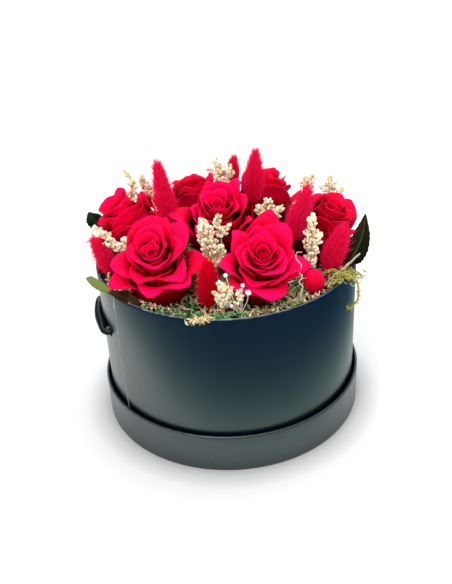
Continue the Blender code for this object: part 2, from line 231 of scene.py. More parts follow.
def polar(degrees, reach, z):
    angle = math.radians(degrees)
    return np.array([reach * math.cos(angle), reach * math.sin(angle), z])


def around(count):
    """Evenly spaced angles of a full turn."""
    return TAU * np.arange(count) / count


def unit(v):
    return v / np.maximum(np.linalg.norm(v, axis=-1, keepdims=True), 1e-9)


def smooth_step(x, low, high):
    t = np.clip((x - low) / (high - low), 0.0, 1.0)
    return t * t * (3.0 - 2.0 * t)


def spline(points, count):
    """A Catmull-Rom curve through the points, as count evenly stepped samples."""
    p = np.asarray(points, float)
    p = np.vstack([2 * p[0] - p[1], p, 2 * p[-1] - p[-2]])
    spans = len(p) - 3
    out = []
    for x in np.linspace(0, spans - 1e-6, count):
        i = int(x)
        t = x - i
        a, b, c, d = p[i : i + 4]
        square = (2 * a - 5 * b + 4 * c - d) * t**2
        cube = (3 * b - a - 3 * c + d) * t**3
        out.append(0.5 * (2 * b + (c - a) * t + square + cube))
    return np.array(out)


def linked(name, data):
    """A new object with the data, in the scene."""
    made = bpy.data.objects.new(name, data)
    bpy.context.scene.collection.objects.link(made)
    return made


class Shape:
    """Collects closed shells into one mesh, with two values at each vertex for the material to use."""

    def __init__(self):
        self.verts, self.faces, self.tones, self.specks = [], [], [], []
        self.count = 0

    def add(self, verts, faces, tone=0.5, speck=0.5):
        verts = np.asarray(verts, float).reshape(-1, 3)
        self.verts.append(verts)
        for block in faces if isinstance(faces, list) else [faces]:
            self.faces.append(np.asarray(block) + self.count)
        self.tones.append(np.broadcast_to(np.asarray(tone, float).ravel(), len(verts)))
        self.specks.append(np.broadcast_to(np.asarray(speck, float).ravel(), len(verts)))
        self.count += len(verts)

    def tube(self, path, radii, sides, tone=0.5, speck=0.5, seed=1):
        """A closed tube along one path."""
        self.add(*tubes(path[None], radii, sides, seed=seed), tone, speck)

    def sheet(self, points, thickness, tone, speck):
        """A thin sheet over a grid of points, with the same tones on both of its faces."""
        both = [np.tile(np.ravel(values), 2) if np.ndim(values) else values for values in (tone, speck)]
        self.add(*shell(points, thickness), *both)

    def piece(self, name, mat, body, slot, nodes=()):
        """One mesh object that rides on the body and takes the place of the CAD nodes."""
        mesh = bpy.data.meshes.new(name)
        faces = [row for block in self.faces for row in block.tolist()]
        mesh.from_pydata((np.vstack(self.verts) * MM).tolist(), [], faces)
        for label, values in (("tone", self.tones), ("speck", self.specks)):
            layer = mesh.attributes.new(label, "FLOAT", "POINT")
            layer.data.foreach_set("value", np.concatenate(values).astype(np.float32))
        mesh.materials.append(mat)
        mesh.shade_smooth()
        made = linked(name, mesh)
        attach(made, body)
        if nodes:
            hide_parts(*nodes)
        return made


def grid_faces(rows, cols, wrap=False):
    """Quads between the points of a grid. Wrapped, the last column joins the first."""
    r = np.arange(rows - 1)[:, None]
    c = np.arange(cols if wrap else cols - 1)[None, :]
    nxt = (c + 1) % cols
    a, b = r * cols + c, r * cols + nxt
    return np.stack([a, b, b + cols, a + cols], -1).reshape(-1, 4)


def closed_rings(rings, sides):
    """Faces of a row of rings, closed at both ends."""
    ring = np.arange(sides)[None]
    return [grid_faces(rings, sides, wrap=True), ring[:, ::-1], (rings - 1) * sides + ring]


def shell(points, thickness):
    """A closed thin shell over a grid of points."""
    rows, cols, _ = points.shape
    normal = unit(np.cross(np.gradient(points, axis=1), np.gradient(points, axis=0)))
    half = normal * thickness / 2.0
    verts = np.concatenate([(points + half).reshape(-1, 3), (points - half).reshape(-1, 3)])
    front = grid_faces(rows, cols)
    size = rows * cols
    index = np.arange(size).reshape(rows, cols)
    edge = np.concatenate([index[0, :-1], index[:-1, -1], index[-1, :0:-1], index[:0:-1, 0]])
    nxt = np.roll(edge, -1)
    border = np.stack([nxt, edge, edge + size, nxt + size], -1)
    return verts, [front, front[:, ::-1] + size, border]


def tubes(paths, radii, sides, flat=1.0, seed=1):
    """Closed tubes along many paths at once: paths is (tubes, stations, 3). The seed turns them."""
    rng = np.random.default_rng(seed)
    paths = np.asarray(paths, float)
    count, stations, _ = paths.shape
    radii = np.broadcast_to(np.asarray(radii, float), (count, stations))
    along = unit(np.gradient(paths, axis=1))
    guide = unit(rng.normal(size=(count, 1, 3)))
    across = unit(np.cross(along, guide))
    other = np.cross(along, across)
    angle = around(sides)[:, None]
    ring = across[:, :, None, :] * np.cos(angle) + other[:, :, None, :] * (np.sin(angle) * flat)
    verts = paths[:, :, None, :] + ring * radii[:, :, None, None]
    base = (np.arange(count) * stations * sides)[:, None, None]
    body = (grid_faces(stations, sides, wrap=True)[None] + base).reshape(-1, 4)
    first = (np.arange(sides)[::-1][None] + base[:, :, 0]).reshape(-1, sides)
    last = (np.arange(sides)[None] + (stations - 1) * sides + base[:, :, 0]).reshape(-1, sides)
    return verts.reshape(-1, 3), [body, first, last]


def ball(level):
    """Points and faces of a round ball of radius 1."""
    bm = bmesh.new()
    bmesh.ops.create_icosphere(bm, subdivisions=level, radius=1.0)
    verts = np.array([v.co[:] for v in bm.verts])
    faces = np.array([[v.index for v in f.verts] for f in bm.faces])
    bm.free()
    return verts, faces


def turn_matrices(axes, spins):
    """Rotations that carry Z to each axis, after a spin about Z."""
    z = unit(axes)
    helper = np.where(np.abs(z[:, 2:3]) > 0.9, [[1.0, 0, 0]], [[0, 0, 1.0]])
    x = unit(np.cross(helper, z))
    y = np.cross(z, x)
    c, s = np.cos(spins)[:, None], np.sin(spins)[:, None]
    return np.stack([x * c + y * s, y * c - x * s, z], -1)


def lathe_points(profile, sides):
    """A ring of points for each radius and height of the profile."""
    profile = np.asarray(profile, float)
    angle = around(sides)
    ring = np.stack([np.cos(angle), np.sin(angle)], -1)
    verts = np.zeros((len(profile), sides, 3))
    verts[:, :, :2] = profile[:, None, :1] * ring[None]
    verts[:, :, 2] = profile[:, None, 1]
    return verts


# ---------------------------------------------------------------- materials


def grey(value):
    return (value, value, value)


class Nodes:
    """A short way to write a node tree."""

    def __init__(self, name):
        self.mat = bpy.data.materials.new(name)
        self.mat.use_nodes = True
        self.tree = self.mat.node_tree
        self.shader = self.tree.nodes["Principled BSDF"]
        self.place = self.new("ShaderNodeTexCoord").outputs["Object"]

    def new(self, kind, **settings):
        node = self.tree.nodes.new(kind)
        for key, value in settings.items():
            setattr(node, key, value)
        return node

    def link(self, source, target):
        self.tree.links.new(source, target)

    def set(self, **values):
        for key, value in values.items():
            self.shader.inputs[key.replace("_", " ")].default_value = value

    def noise(self, scale, detail=4.0, rough=0.6, stretch=None):
        node = self.new("ShaderNodeTexNoise")
        for key, value in (("Scale", scale), ("Detail", detail), ("Roughness", rough)):
            node.inputs[key].default_value = value
        source = self.place
        if stretch:
            mapping = self.new("ShaderNodeMapping")
            mapping.inputs["Scale"].default_value = stretch
            self.link(source, mapping.inputs["Vector"])
            source = mapping.outputs["Vector"]
        self.link(source, node.inputs["Vector"])
        return node.outputs["Fac"]

    def attribute(self, name):
        return self.new("ShaderNodeAttribute", attribute_name=name).outputs["Fac"]

    def math(self, operation, a, b, clamp=False):
        node = self.new("ShaderNodeMath", operation=operation, use_clamp=clamp)
        for socket, value in zip(node.inputs, (a, b)):
            if isinstance(value, (int, float)):
                socket.default_value = value
            else:
                self.link(value, socket)
        return node.outputs["Value"]

    def times(self, *factors, clamp=False):
        result, *others = factors
        for factor in others:
            result = self.math("MULTIPLY", result, factor, clamp)
        return result

    def swayed(self, value, pattern, amount, clamp=False):
        """The value, moved up and down by a pattern that lies between 0 and 1."""
        return self.math("ADD", value, self.times(self.math("SUBTRACT", pattern, 0.5), amount), clamp)

    def span(self, source, start, end, low=0.0):
        """Where the source stands between start and end, told from low to 1."""
        node = self.new("ShaderNodeMapRange")
        for key, value in (("From Min", start), ("From Max", end), ("To Min", low)):
            node.inputs[key].default_value = value
        self.link(source, node.inputs["Value"])
        return node.outputs["Result"]

    def ramp(self, source, *stops):
        node = self.new("ShaderNodeValToRGB")
        items = node.color_ramp.elements
        while len(items) < len(stops):
            items.new(0.5)
        for item, (place, colour) in zip(items, stops):
            item.position = place
            item.color = (*colour, 1.0)
        self.link(source, node.inputs["Fac"])
        return node.outputs["Color"]

    def mix(self, factor, a, b):
        node = self.new("ShaderNodeMix", data_type="RGBA")
        for key, value in (("Factor", factor), ("A", a), ("B", b)):
            kind = "NodeSocketFloat" if key == "Factor" else "NodeSocketColor"
            socket = next(s for s in node.inputs if s.name == key and s.bl_idname.startswith(kind))
            if isinstance(value, tuple):
                socket.default_value = (*value, 1.0)
            else:
                self.link(value, socket)
        return next(s for s in node.outputs if s.bl_idname == "NodeSocketColor")

    def bump(self, height, strength, distance, normal=None):
        node = self.new("ShaderNodeBump")
        node.inputs["Strength"].default_value = strength
        node.inputs["Distance"].default_value = distance
        self.link(height, node.inputs["Height"])
        if normal:
            self.link(normal, node.inputs["Normal"])
        return node.outputs["Normal"]

    def finish(self, colour, rough=None, normal=None):
        for source, key in ((colour, "Base Color"), (rough, "Roughness"), (normal, "Normal")):
            if source is not None:
                self.link(source, self.shader.inputs[key])
        return self.mat


def paper_material(name="black_paper_wrap", top=BOX_HEIGHT, wear_and_highlight=0.6):
    """Satin black paper over board, a little scuffed, and pale along its top edge: part wear, part painted
    highlight, strongest on the left.
    """
    n = Nodes(name)
    fibres = n.noise(900.0, 3.0, stretch=(1.0, 1.0, 0.5))
    streaks = n.noise(60.0, stretch=(1.0, 1.0, 0.12))
    base = n.ramp(n.noise(14.0, 5.0), (0.3, (0.0006, 0.0026, 0.0064)), (0.7, (0.0014, 0.0048, 0.0100)))
    axes = n.new("ShaderNodeSeparateXYZ")
    n.link(n.place, axes.inputs["Vector"])
    # the pale top edge is part wear and part painted highlight: patchy like wear, and paler on the left,
    # where the key light falls
    edge = n.span(axes.outputs["Z"], (top - 1.1) * MM, (top - 0.1) * MM)
    side = n.span(axes.outputs["X"], 0.03, -0.03, 0.22)
    patchy = n.ramp(n.noise(160.0, 5.0, 0.75), (0.46, grey(0)), (0.62, grey(1)))
    colour = n.mix(n.times(edge, patchy, side, wear_and_highlight), base, (0.42, 0.46, 0.48))
    dust = n.ramp(n.noise(420.0, 2.0, 0.5), (0.71, grey(0)), (0.76, grey(0.5)))
    colour = n.mix(n.times(dust, 0.12), colour, (0.35, 0.35, 0.36))
    rough = n.ramp(streaks, (0.3, grey(0.27)), (0.7, grey(0.34)))
    normal = n.bump(n.noise(260.0), 0.12, 0.0006, n.bump(fibres, 0.08, 0.0002))
    normal = n.bump(n.noise(22.0, 2.0, 0.5, stretch=(1.0, 1.0, 0.35)), 0.08, 0.004, normal)
    n.set(IOR=1.6, Specular_IOR_Level=1.0, Specular_Tint=(0.82, 1.0, 0.97, 1.0))
    return n.finish(colour, rough, normal)


def plain_grain(name, low, high, scale, rough, bump=0.3, stretch=None):
    """A dry fibrous surface whose colour wanders between two values."""
    n = Nodes(name)
    colour = n.ramp(n.noise(scale, 6.0, 0.65, stretch), (0.3, low), (0.7, high))
    n.set(Roughness=rough)
    return n.finish(colour, None, n.bump(n.noise(scale * 3.0, stretch=stretch), bump, 0.0006))


def foam_material():
    """Green floral foam: fine open cells."""
    n = Nodes("floral_foam_cells")
    cells = n.new("ShaderNodeTexVoronoi")
    cells.inputs["Scale"].default_value = 1400.0
    n.link(n.place, cells.inputs["Vector"])
    colour = n.ramp(n.noise(300.0), (0.3, (0.05, 0.12, 0.05)), (0.7, (0.12, 0.22, 0.10)))
    n.set(Roughness=0.95)
    return n.finish(colour, None, n.bump(cells.outputs["Distance"], 0.6, 0.0005))


def cord_material():
    """Smooth black cord with fine threads."""
    n = Nodes("black_cord_twist")
    threads = n.noise(2600.0, 2.0, 0.5)
    colour = n.ramp(threads, (0.3, (0.0015, 0.002, 0.003)), (0.7, (0.004, 0.005, 0.008)))
    n.set(Roughness=0.38, Specular_IOR_Level=0.5)
    return n.finish(colour, None, n.bump(threads, 0.25, 0.0002))


def petal_material():
    """Velvety preserved petals with painted shade and highlight: deep crimson to nearly black inside, a
    painted shade, and brighter and pinker towards the lip, a painted highlight.
    """
    n = Nodes("rose_petal_velvet")
    veins = n.noise(420.0, stretch=(1.0, 1.0, 0.3))
    colour = n.ramp(
        n.swayed(n.attribute("tone"), n.noise(120.0, 5.0), 0.30),
        (0.0, (0.06, 0.0, 0.001)),
        (0.35, (0.32, 0.0002, 0.005)),
        (0.7, (0.80, 0.0002, 0.036)),
        (1.0, (0.92, 0.0004, 0.100)),
    )
    rough = n.ramp(veins, (0.3, grey(0.55)), (0.7, grey(0.68)))
    creases = n.noise(95.0, 3.0, 0.55, stretch=(1.0, 1.0, 0.6))
    normal = n.bump(creases, 0.22, 0.0016, n.bump(veins, 0.25, 0.0003))
    n.set(Sheen_Weight=0.04, Sheen_Roughness=0.5, Sheen_Tint=(1.0, 0.02, 0.25, 1.0), Specular_IOR_Level=0.05)
    return n.finish(colour, rough, normal)


def hair_material():
    """Dyed hair: deep red at the core, bright crimson and a little pink at the ends; the hairs' tones are
    painted shade inside the tuft and a painted highlight at its rim.
    """
    n = Nodes("dyed_tail_hair")
    shift = n.swayed(n.attribute("tone"), n.attribute("speck"), 0.35)
    colour = n.ramp(
        n.swayed(shift, n.noise(200.0), 0.3),
        (0.0, (0.42, 0.0, 0.002)),
        (0.35, (0.84, 0.0004, 0.012)),
        (0.7, (0.98, 0.001, 0.050)),
        (1.0, (1.0, 0.015, 0.14)),
    )
    n.set(Roughness=0.6, Specular_IOR_Level=0.05)
    return n.finish(colour)


def bud_material():
    """Dry cream buds: pale outside, with painted shade that turns them tan to orange-brown down between them.
    """
    n = Nodes("cream_buds")
    mottle = n.noise(900.0, 3.0)
    colour = n.ramp(
        n.swayed(n.attribute("speck"), mottle, 0.7),
        (0.0, (0.66, 0.32, 0.12)),
        (0.25, (0.84, 0.64, 0.34)),
        (0.5, (0.93, 0.83, 0.56)),
        (1.0, (0.97, 0.94, 0.80)),
    )
    # painted shade: a low tone, on each bud's underside, mixes in orange-brown
    deep = n.times(n.math("SUBTRACT", 1.0, n.attribute("tone")), 0.6, clamp=True)
    n.set(Roughness=0.75, Specular_IOR_Level=0.25)
    return n.finish(n.mix(deep, colour, (0.50, 0.26, 0.10)), None, n.bump(mottle, 0.35, 0.0004))


def strand_material(name, low, middle, high):
    """Dry moss strands, each in its own colour between three."""
    n = Nodes(name)
    shift = n.swayed(n.attribute("speck"), n.noise(700.0), 0.5)
    colour = n.ramp(shift, (0.0, low), (0.5, middle), (1.0, high))
    n.set(Roughness=0.85, Specular_IOR_Level=0.2)
    return n.finish(colour, None, n.bump(n.noise(1500.0), 0.3, 0.0003))


def leaf_material(name, inner, outer, tip):
    """Waxy leaf with a pale midrib: mottled between two colours, and a third towards its tip."""
    n = Nodes(name)
    mottle = n.ramp(n.noise(150.0, 5.0, 0.65), (0.35, grey(0)), (0.65, grey(1)))
    body = n.mix(mottle, inner, outer)
    colour = n.mix(n.swayed(n.attribute("tone"), n.noise(260.0), 0.25, clamp=True), body, tip)
    rib = n.ramp(n.attribute("speck"), (0.0, grey(1)), (0.07, grey(0)))
    colour = n.mix(n.times(rib, 0.30), colour, (0.20, 0.22, 0.10))
    n.set(Roughness=0.55, Specular_IOR_Level=0.07)
    return n.finish(colour, None, n.bump(n.noise(500.0), 0.3, 0.0005))


# ---------------------------------------------------------------- box and lid


def board_profile(inner, outer, bottom, top):
    """A board's section with paper turned over its rounded edges, as a closed loop."""
    middle = (inner + outer) / 2.0
    half = (outer - inner) / 2.0
    turns = [math.pi * step / 8 for step in range(9)]
    over, under = half * 0.8, half * 0.4
    profile = [(middle + half * math.cos(a), top - over + over * math.sin(a)) for a in turns]
    profile += [(inner, z) for z in np.linspace(top - 3.0, bottom + 3.0, 5)]
    profile += [(middle - half * math.cos(a), bottom + under - under * math.sin(a)) for a in turns]
    profile += [(outer, z) for z in np.linspace(bottom + 3.0, top - 3.0, 24)]
    return profile[::-1]


def board_tube(name, outer, bottom, top, mat, body, node, waver):
    """A board tube with the faint unevenness of hand-wrapped paper."""
    sides = 288
    points = lathe_points(board_profile(outer - BOARD, outer, bottom, top), sides)
    angle = around(sides)[None, :]
    share = (points[:, :, 2] - bottom) / (top - bottom)
    swell = waver * (np.sin(3 * angle + 4 * share) + 0.6 * np.sin(7 * angle - 5 * share + 1.0)) / 1.6
    radius = np.linalg.norm(points[:, :, :2], axis=-1)
    points[:, :, :2] *= ((radius + swell * share) / radius)[..., None]
    last = (len(points) - 1) * sides
    a = np.arange(sides)
    b = (a + 1) % sides
    closing = np.stack([last + a, last + b, b, a], -1)
    shape = Shape()
    shape.add(points, [grid_faces(len(points), sides, wrap=True), closing])
    return shape.piece(name, mat, body, "black_paper", (node,))


def cut_cord_holes(wall):
    """The four holes that the cords pass through."""
    paths = []
    for middle, _ in HANDLES.values():
        for way in (middle - HOLE_ANGLE, middle + HOLE_ANGLE):
            paths.append([polar(way, reach, HANDLE_HEIGHT) for reach in (95.0, 104.0)])
    verts, faces = tubes(paths, HOLE_RADIUS, sides=24)
    mesh = bpy.data.meshes.new("hole_cutter")
    mesh.from_pydata((verts * MM).tolist(), [], [row for block in faces for row in block.tolist()])
    cutter = linked("hole_cutter", mesh)
    bpy.context.view_layer.update()
    modifier = wall.modifiers.new("holes", "BOOLEAN")
    modifier.object = cutter
    modifier.operation = "DIFFERENCE"
    modifier.solver = "EXACT"
    depsgraph = bpy.context.evaluated_depsgraph_get()
    result = bpy.data.meshes.new_from_object(wall.evaluated_get(depsgraph))
    wall.modifiers.clear()
    wall.data = result
    bpy.data.objects.remove(cutter)


def build_seam(mat):
    """The paper's overlap: a narrow raw edge down the wall, with a bead of dried glue near the top."""
    shape = Shape()
    z = np.linspace(LID_HEIGHT - 6.0, BOX_HEIGHT - 0.8, 60)
    drift = 0.35 * np.sin(z * 0.06) + 0.12 * np.sin(z * 0.31)
    a = np.radians(SEAM_ANGLE) + drift / BOX_OUTER_RADIUS
    path = np.stack([100.02 * np.cos(a), 100.02 * np.sin(a), z], -1)
    width = 0.26 + 0.10 * np.sin(z * 0.9) * np.sin(z * 0.23) + 0.16 * smooth_step(z, 112, 128)
    shape.tube(path, width, 6)
    bead, faces = ball(3)
    for up, side, size in GLUE_BEADS:
        a = math.radians(SEAM_ANGLE) - side / BOX_OUTER_RADIUS
        out = np.array([math.cos(a), math.sin(a), 0.0])
        way = np.array([-math.sin(a), math.cos(a), 0.0])
        blob = bead * size
        lump = out * blob[:, :1] + way * blob[:, 1:2] + np.array([0, 0, 1.0]) * blob[:, 2:]
        shape.add(lump + out * 100.1 + np.array([0, 0, up]), faces)
    shape.piece("wall_seam", mat, "box", "black_paper")


def handle_path(middle):
    """The cord's middle line, from hole to hole. Half of it is given as angle and reach."""
    half = (
        (HOLE_ANGLE, 98.7),
        (HOLE_ANGLE, 100.6),
        (HOLE_ANGLE - 0.8, 102.9),
        (HOLE_ANGLE - 2.6, 103.9),
        (HOLE_ANGLE - 6.0, 104.0),
        (HOLE_ANGLE - 10.5, 104.1),
    )
    whole = [(-angle, reach) for angle, reach in half] + [(0.0, HANDLE_REACH)] + list(reversed(half))
    return spline([polar(middle + angle, reach, HANDLE_HEIGHT) for angle, reach in whole], 72)


def build_handle(label, mat):
    """A smooth black cord with a faint three-strand twist, fuller in its middle."""
    path = handle_path(HANDLES[label][0])
    along = unit(np.gradient(path, axis=0))
    up = np.array([0.0, 0.0, 1.0])
    across = unit(np.cross(along, up))
    sides = 36
    angle = around(sides)
    length = np.concatenate([[0], np.cumsum(np.linalg.norm(np.diff(path, axis=0), axis=1))])
    twist = length[:, None] * 0.55 + angle[None, :]
    radius = CORD_RADIUS * (0.985 + 0.03 * np.abs(np.cos(1.5 * twist)))
    ends = np.minimum(length, length[-1] - length)
    radius *= (0.55 + 0.45 * smooth_step(ends, -0.4, 1.2))[:, None]
    fuller = smooth_step(ends, 6.0, 18.0)[:, None]
    wide = radius * (1 + 0.35 * fuller) * np.cos(angle)
    tall = radius * (1 + 0.70 * fuller) * np.sin(angle)
    path = path - unit(path * (1, 1, 0)) * 1.1 * fuller
    shape = Shape()
    verts = path[:, None] + across[:, None] * wide[..., None] + up * tall[..., None]
    shape.add(verts, closed_rings(len(path), sides))
    shape.piece(f"handle_{label}", mat, f"handle_{label}", "black_cord", (f"handle_cord_{label}",))


def build_knots(mat):
    """A knot behind each hole, drawn tight, with a short neck of cord up to the hole."""
    for label, (middle, front) in HANDLES.items():
        for end, where in ((front, "front"), (-front, "back")):
            hole_way = middle + end * HOLE_ANGLE
            out = polar(hole_way, 1.0, 0.0)
            centre = polar(hole_way, KNOT_REACH, HANDLE_HEIGHT)
            way = np.array([-out[1], out[0], 0.0])
            up = np.array([0, 0, 1.0])
            t = np.linspace(0, TAU, 60, endpoint=False)
            x = np.sin(t) + 2 * np.sin(2 * t)
            y = np.cos(t) - 2 * np.cos(2 * t)
            z = -np.sin(3 * t)
            path = centre + (way * x[:, None] + up * y[:, None]) * 0.80 + out * z[:, None] * 1.1
            shape = Shape()
            shape.tube(path, 1.25, 12, seed=3)
            shape.tube(np.linspace(centre + out * 1.0, centre + out * 2.5, 5), 1.9, 16, seed=4)
            shape.piece(f"knot_{label}_{where}", mat, "box", "black_cord", (f"cord_knot_{label}_{where}",))


# ---------------------------------------------------------------- roses


# how far in a petal stands for its share of the count: the jumps part the whorls
WHORLS = (
    (0.0, 0.20, 0.25, 0.42, 0.47, 0.64, 0.69, 1.0),
    (0.0, 0.14, 0.20, 0.36, 0.45, 0.59, 0.69, 1.0),
)
LEAF_ANGLE = 137.5
# how much wider than its plan a flower head is spread
PETAL_SPREAD = 1.12
# the closed heart: its radius in a head of HEART_RADIUS, and its height as a share of the radius
HEART_PROFILE = (
    (0.1, -0.86), (4.0, -0.84), (8.5, -0.66), (9.5, -0.40),
    (6.0, -0.05), (2.0, 0.16), (0.1, 0.18),
)
HEART_RADIUS = 28.0


def wave(x, rate, rng):
    """A sine along x that starts anywhere."""
    return np.sin(rate * x + rng.uniform(0, TAU))


def petal_grid(t, radius, rng, openness, stand):
    """One petal: t runs from 0 for the outermost to 1 for the innermost, stand lifts it upright."""
    across = np.linspace(-1, 1, 21)[None, :]
    share = np.linspace(0, 1, 18)[:, None]
    outer = 1.0 - t
    pointed = (0.38 + 0.10 * rng.uniform(-1, 1)) * (0.45 + 0.55 * outer)
    v = share * (1.0 - pointed * np.abs(across) ** (1.7 - 0.45 * outer))

    # the cup: a curve from the foot over the bulge to the throat, up to the given share of v
    cup = 0.58
    throat = radius * (0.66 - 0.60 * t**0.85) * (1 + 0.09 * rng.uniform(-1, 1))
    rise = radius * (-0.20 + 0.74 * min(1.0, t / 0.68) ** 0.95 - 0.14 * max(0.0, t - 0.68) / 0.32)
    rise += radius * (0.24 * stand * (0.4 + outer) + 0.05 * rng.uniform(-1, 1))
    foot_r, foot_z = radius * (0.10 - 0.05 * t), radius * (-0.86 + 0.36 * t)
    bulge = throat * (1.30 - 0.22 * t)
    w = np.clip(v / cup, 0, 1)
    r = (1 - w) ** 2 * foot_r + 2 * w * (1 - w) * bulge + w**2 * throat
    z = (1 - w) ** 2 * foot_z + 2 * w * (1 - w) * (foot_z + radius * 0.14) + w**2 * rise

    # the lip rolls over beyond the cup, more at its corners
    lip = radius * (0.60 * outer**1.1 + 0.15) * (0.45 + 0.55 * openness)
    lip = lip * (1 + 0.15 * rng.uniform(-1, 1))
    ripple = 14 * wave(across, 2.4, rng) + 7 * wave(across, 6.5, rng)
    final = (16 + 80 * outer**0.6 * openness) * rng.uniform(0.80, 1.16) * (1 - 0.35 * stand)
    final = final + (36 + 60 * outer) * (1 - 0.5 * stand) * np.abs(across) ** 2.4 + ripple * (0.3 + outer)
    start = np.radians(-8.0)
    bend = np.radians(np.clip(final, 12, 168)) - start
    curl = np.clip((v - cup) / (1 - cup), 0, None) ** 1.25
    r = r + lip * (np.cos(start) - np.cos(start + bend * curl)) / bend
    z = z + lip * (np.sin(start + bend * curl) - np.sin(start)) / bend

    for _ in range(3):
        place, depth = rng.uniform(-0.8, 0.8), rng.uniform(-0.045, 0.055) * radius
        fold = np.exp(-(np.abs(across - place) / 0.13) ** 1.5) * smooth_step(v, 0.4, 1.0)
        r = r - depth * fold
        z = z + 0.6 * depth * fold
    ruffle = 0.013 * wave(across, 8, rng) + 0.006 * wave(across, 17, rng)
    z = z + radius * ruffle * v**4
    r = r * (1 + (0.05 + 0.12 * t) * across * smooth_step(v, 0.1, 0.6))

    width = math.radians(46 + 96 * t**1.15) * (0.60 + 0.40 * np.sin(np.clip(v, 0, 1) * 1.9))
    angle = across * width * rng.uniform(0.9, 1.12) + 0.05 * wave(v, 3, rng)
    r = r * PETAL_SPREAD
    points = np.stack([r * np.cos(angle), r * np.sin(angle), z], -1)
    # painted shade and highlight: dark at the petal's foot deep in the head, bright and pink towards the lip
    tone = 0.05 + 0.70 * smooth_step(v, 0.40, 0.82) + 0.22 * smooth_step(v, 0.8, 1.0)
    return points, np.clip(tone + 0.10 * rng.uniform(-1, 1), 0, 1)


def lean_matrix(tilt, way):
    """A rotation that tilts the Z axis towards the given way in the arrangement."""
    lean = math.radians(tilt)
    axis = np.array([0, 0, 1.0]) * math.cos(lean) + turned(polar(way, 1.0, 0.0)) * math.sin(lean)
    return turn_matrices(axis[None], np.zeros(1))[0]


def build_rose(label, mat):
    """A rose head of separate petals, each turned from the last by the angle that leaves grow at."""
    centre, radius, tilt, way, spin, petals, openness, seed = ROSES[label]
    rng = np.random.default_rng(seed)
    lean = lean_matrix(tilt, way)
    middle = turned(centre)
    behind = turned((0.0, 1.0, 0.0))
    shape = Shape()
    for index in range(petals):
        t = float(np.interp(index / (petals - 1), *WHORLS))
        angle = math.radians(spin + LEAF_ANGLE * index) + 0.22 * rng.uniform(-1, 1)
        c, s = math.cos(angle), math.sin(angle)
        stand = float(smooth_step((lean @ np.array([c, s, 0.0])) @ behind, 0.1, 0.9))
        points, tone = petal_grid(t, radius, rng, openness, stand)
        spun = points @ np.array([[c, s, 0], [-s, c, 0], [0, 0, 1.0]])
        nod = math.radians(9.0 * rng.uniform(-1, 1)) * (1.15 - t)
        spun[..., 2] += (spun[..., 0] * c + spun[..., 1] * s) * math.sin(nod)
        # painted shade on the roses that sit in shade
        tone = np.clip(tone - PAINTED_SHADE.get(label, 0.0), 0, 1)
        shape.sheet(spun @ lean.T + middle, 0.40, tone, rng.uniform())
    # the solid heart that the petals close round, dark with painted shade
    sides = 24
    core = lathe_points([(r * radius / HEART_RADIUS, z * radius) for r, z in HEART_PROFILE], sides)
    shape.add(core @ lean.T + middle, closed_rings(len(core), sides), 0.05)
    shape.piece(f"rose_{label}", mat, "box", "rose_petals", (f"rose_head_{label}",))


# ---------------------------------------------------------------- tails and sprigs


def stem_path(foot, top):
    """A stem from its foot in the foam up to the given height."""
    x, y = foot
    return turned(spline([(x, y, STEM_FOOT), (x, y, FOAM_TOP), (x, y, 120.0), (x, y, top)], 9))


def frame_along(start, tip):
    """The length and direction from start to tip, and two directions across it."""
    length = np.linalg.norm(tip - start)
    axis = (tip - start) / length
    side = unit(np.cross(axis, [0.3, 0.9, 0.1]))
    return length, axis, side, np.cross(axis, side)


def outwards(side, other, angle):
    return side[None] * np.cos(angle)[:, None] + other[None] * np.sin(angle)[:, None]


def belly(t):
    """How full a tail is along its length."""
    return np.interp(t, (0.0, 0.06, 0.22, 0.45, 0.72, 0.9, 1.0), (0.15, 0.6, 0.9, 0.95, 0.72, 0.4, 0.05))


def build_tail(label, mat):
    """A dyed grass head: a spindle core under thousands of fine tapered hairs."""
    foot, start, tip, radius, hairs, tone = TAILS[label]
    rng = np.random.default_rng(len(label) * 31 + hairs)
    start, tip = turned(start), turned(tip)
    length, axis, side, other = frame_along(start, tip)
    shape = Shape()
    stem = np.vstack([stem_path(foot, 118.0), start + (tip - start) * 0.1])
    shape.tube(stem, 0.75, 8, 0.15)

    rings, sides = 18, 14
    t = np.linspace(0, 0.97, rings)
    ring = outwards(side, other, around(sides))
    spine = (start + axis * (t * length)[:, None])[:, None]
    core = spine + ring[None] * (belly(t) * radius * 0.6)[:, None, None]
    shape.add(core, closed_rings(rings, sides), 0.75 + tone)

    t = rng.beta(1.1, 1.3, hairs) * 0.98
    out = outwards(side, other, rng.uniform(0, TAU, hairs))
    root = start + axis * (t * length)[:, None] + out * (belly(t) * radius * 0.56)[:, None]
    spread = np.radians(np.interp(t, (0, 0.5, 1), (48, 34, 14)) + rng.normal(0, 9, hairs))
    way = axis[None] * np.cos(spread)[:, None] + out * np.sin(spread)[:, None]
    way = unit(way + rng.normal(0, 0.08, (hairs, 3)))
    long = np.interp(t, (0, 0.3, 1), (6.0, 7.5, 6.0)) * rng.uniform(0.6, 1.2, hairs) * (0.6 + radius / 15)
    long = np.where(rng.uniform(size=hairs) < 0.04, long * 1.7, long)
    steps = np.linspace(0, 1, 5)
    bow = unit(way + axis[None] * 0.35)
    straight = way[:, None] * (long[:, None] * steps)[..., None] * 0.6
    paths = root[:, None] + (straight + bow[:, None] * (long[:, None] * steps**1.5)[..., None] * 0.4)
    thick = np.array([0.22, 0.20, 0.16, 0.10, 0.03])[None] * rng.uniform(0.8, 1.2, (hairs, 1))
    verts, faces = tubes(paths, thick, sides=3, seed=hairs)
    # painted shade and highlight: each hair darker at its root inside the tuft, brighter out to its end
    shade = np.repeat(np.tile(0.55 + 0.40 * steps, hairs), 3) + tone
    shape.add(verts, faces, shade, np.repeat(rng.uniform(0, 1, hairs), len(steps) * 3))
    shape.piece(f"tail_hair_{label}", mat, "box", "dyed_tails", (f"tail_{label}",))


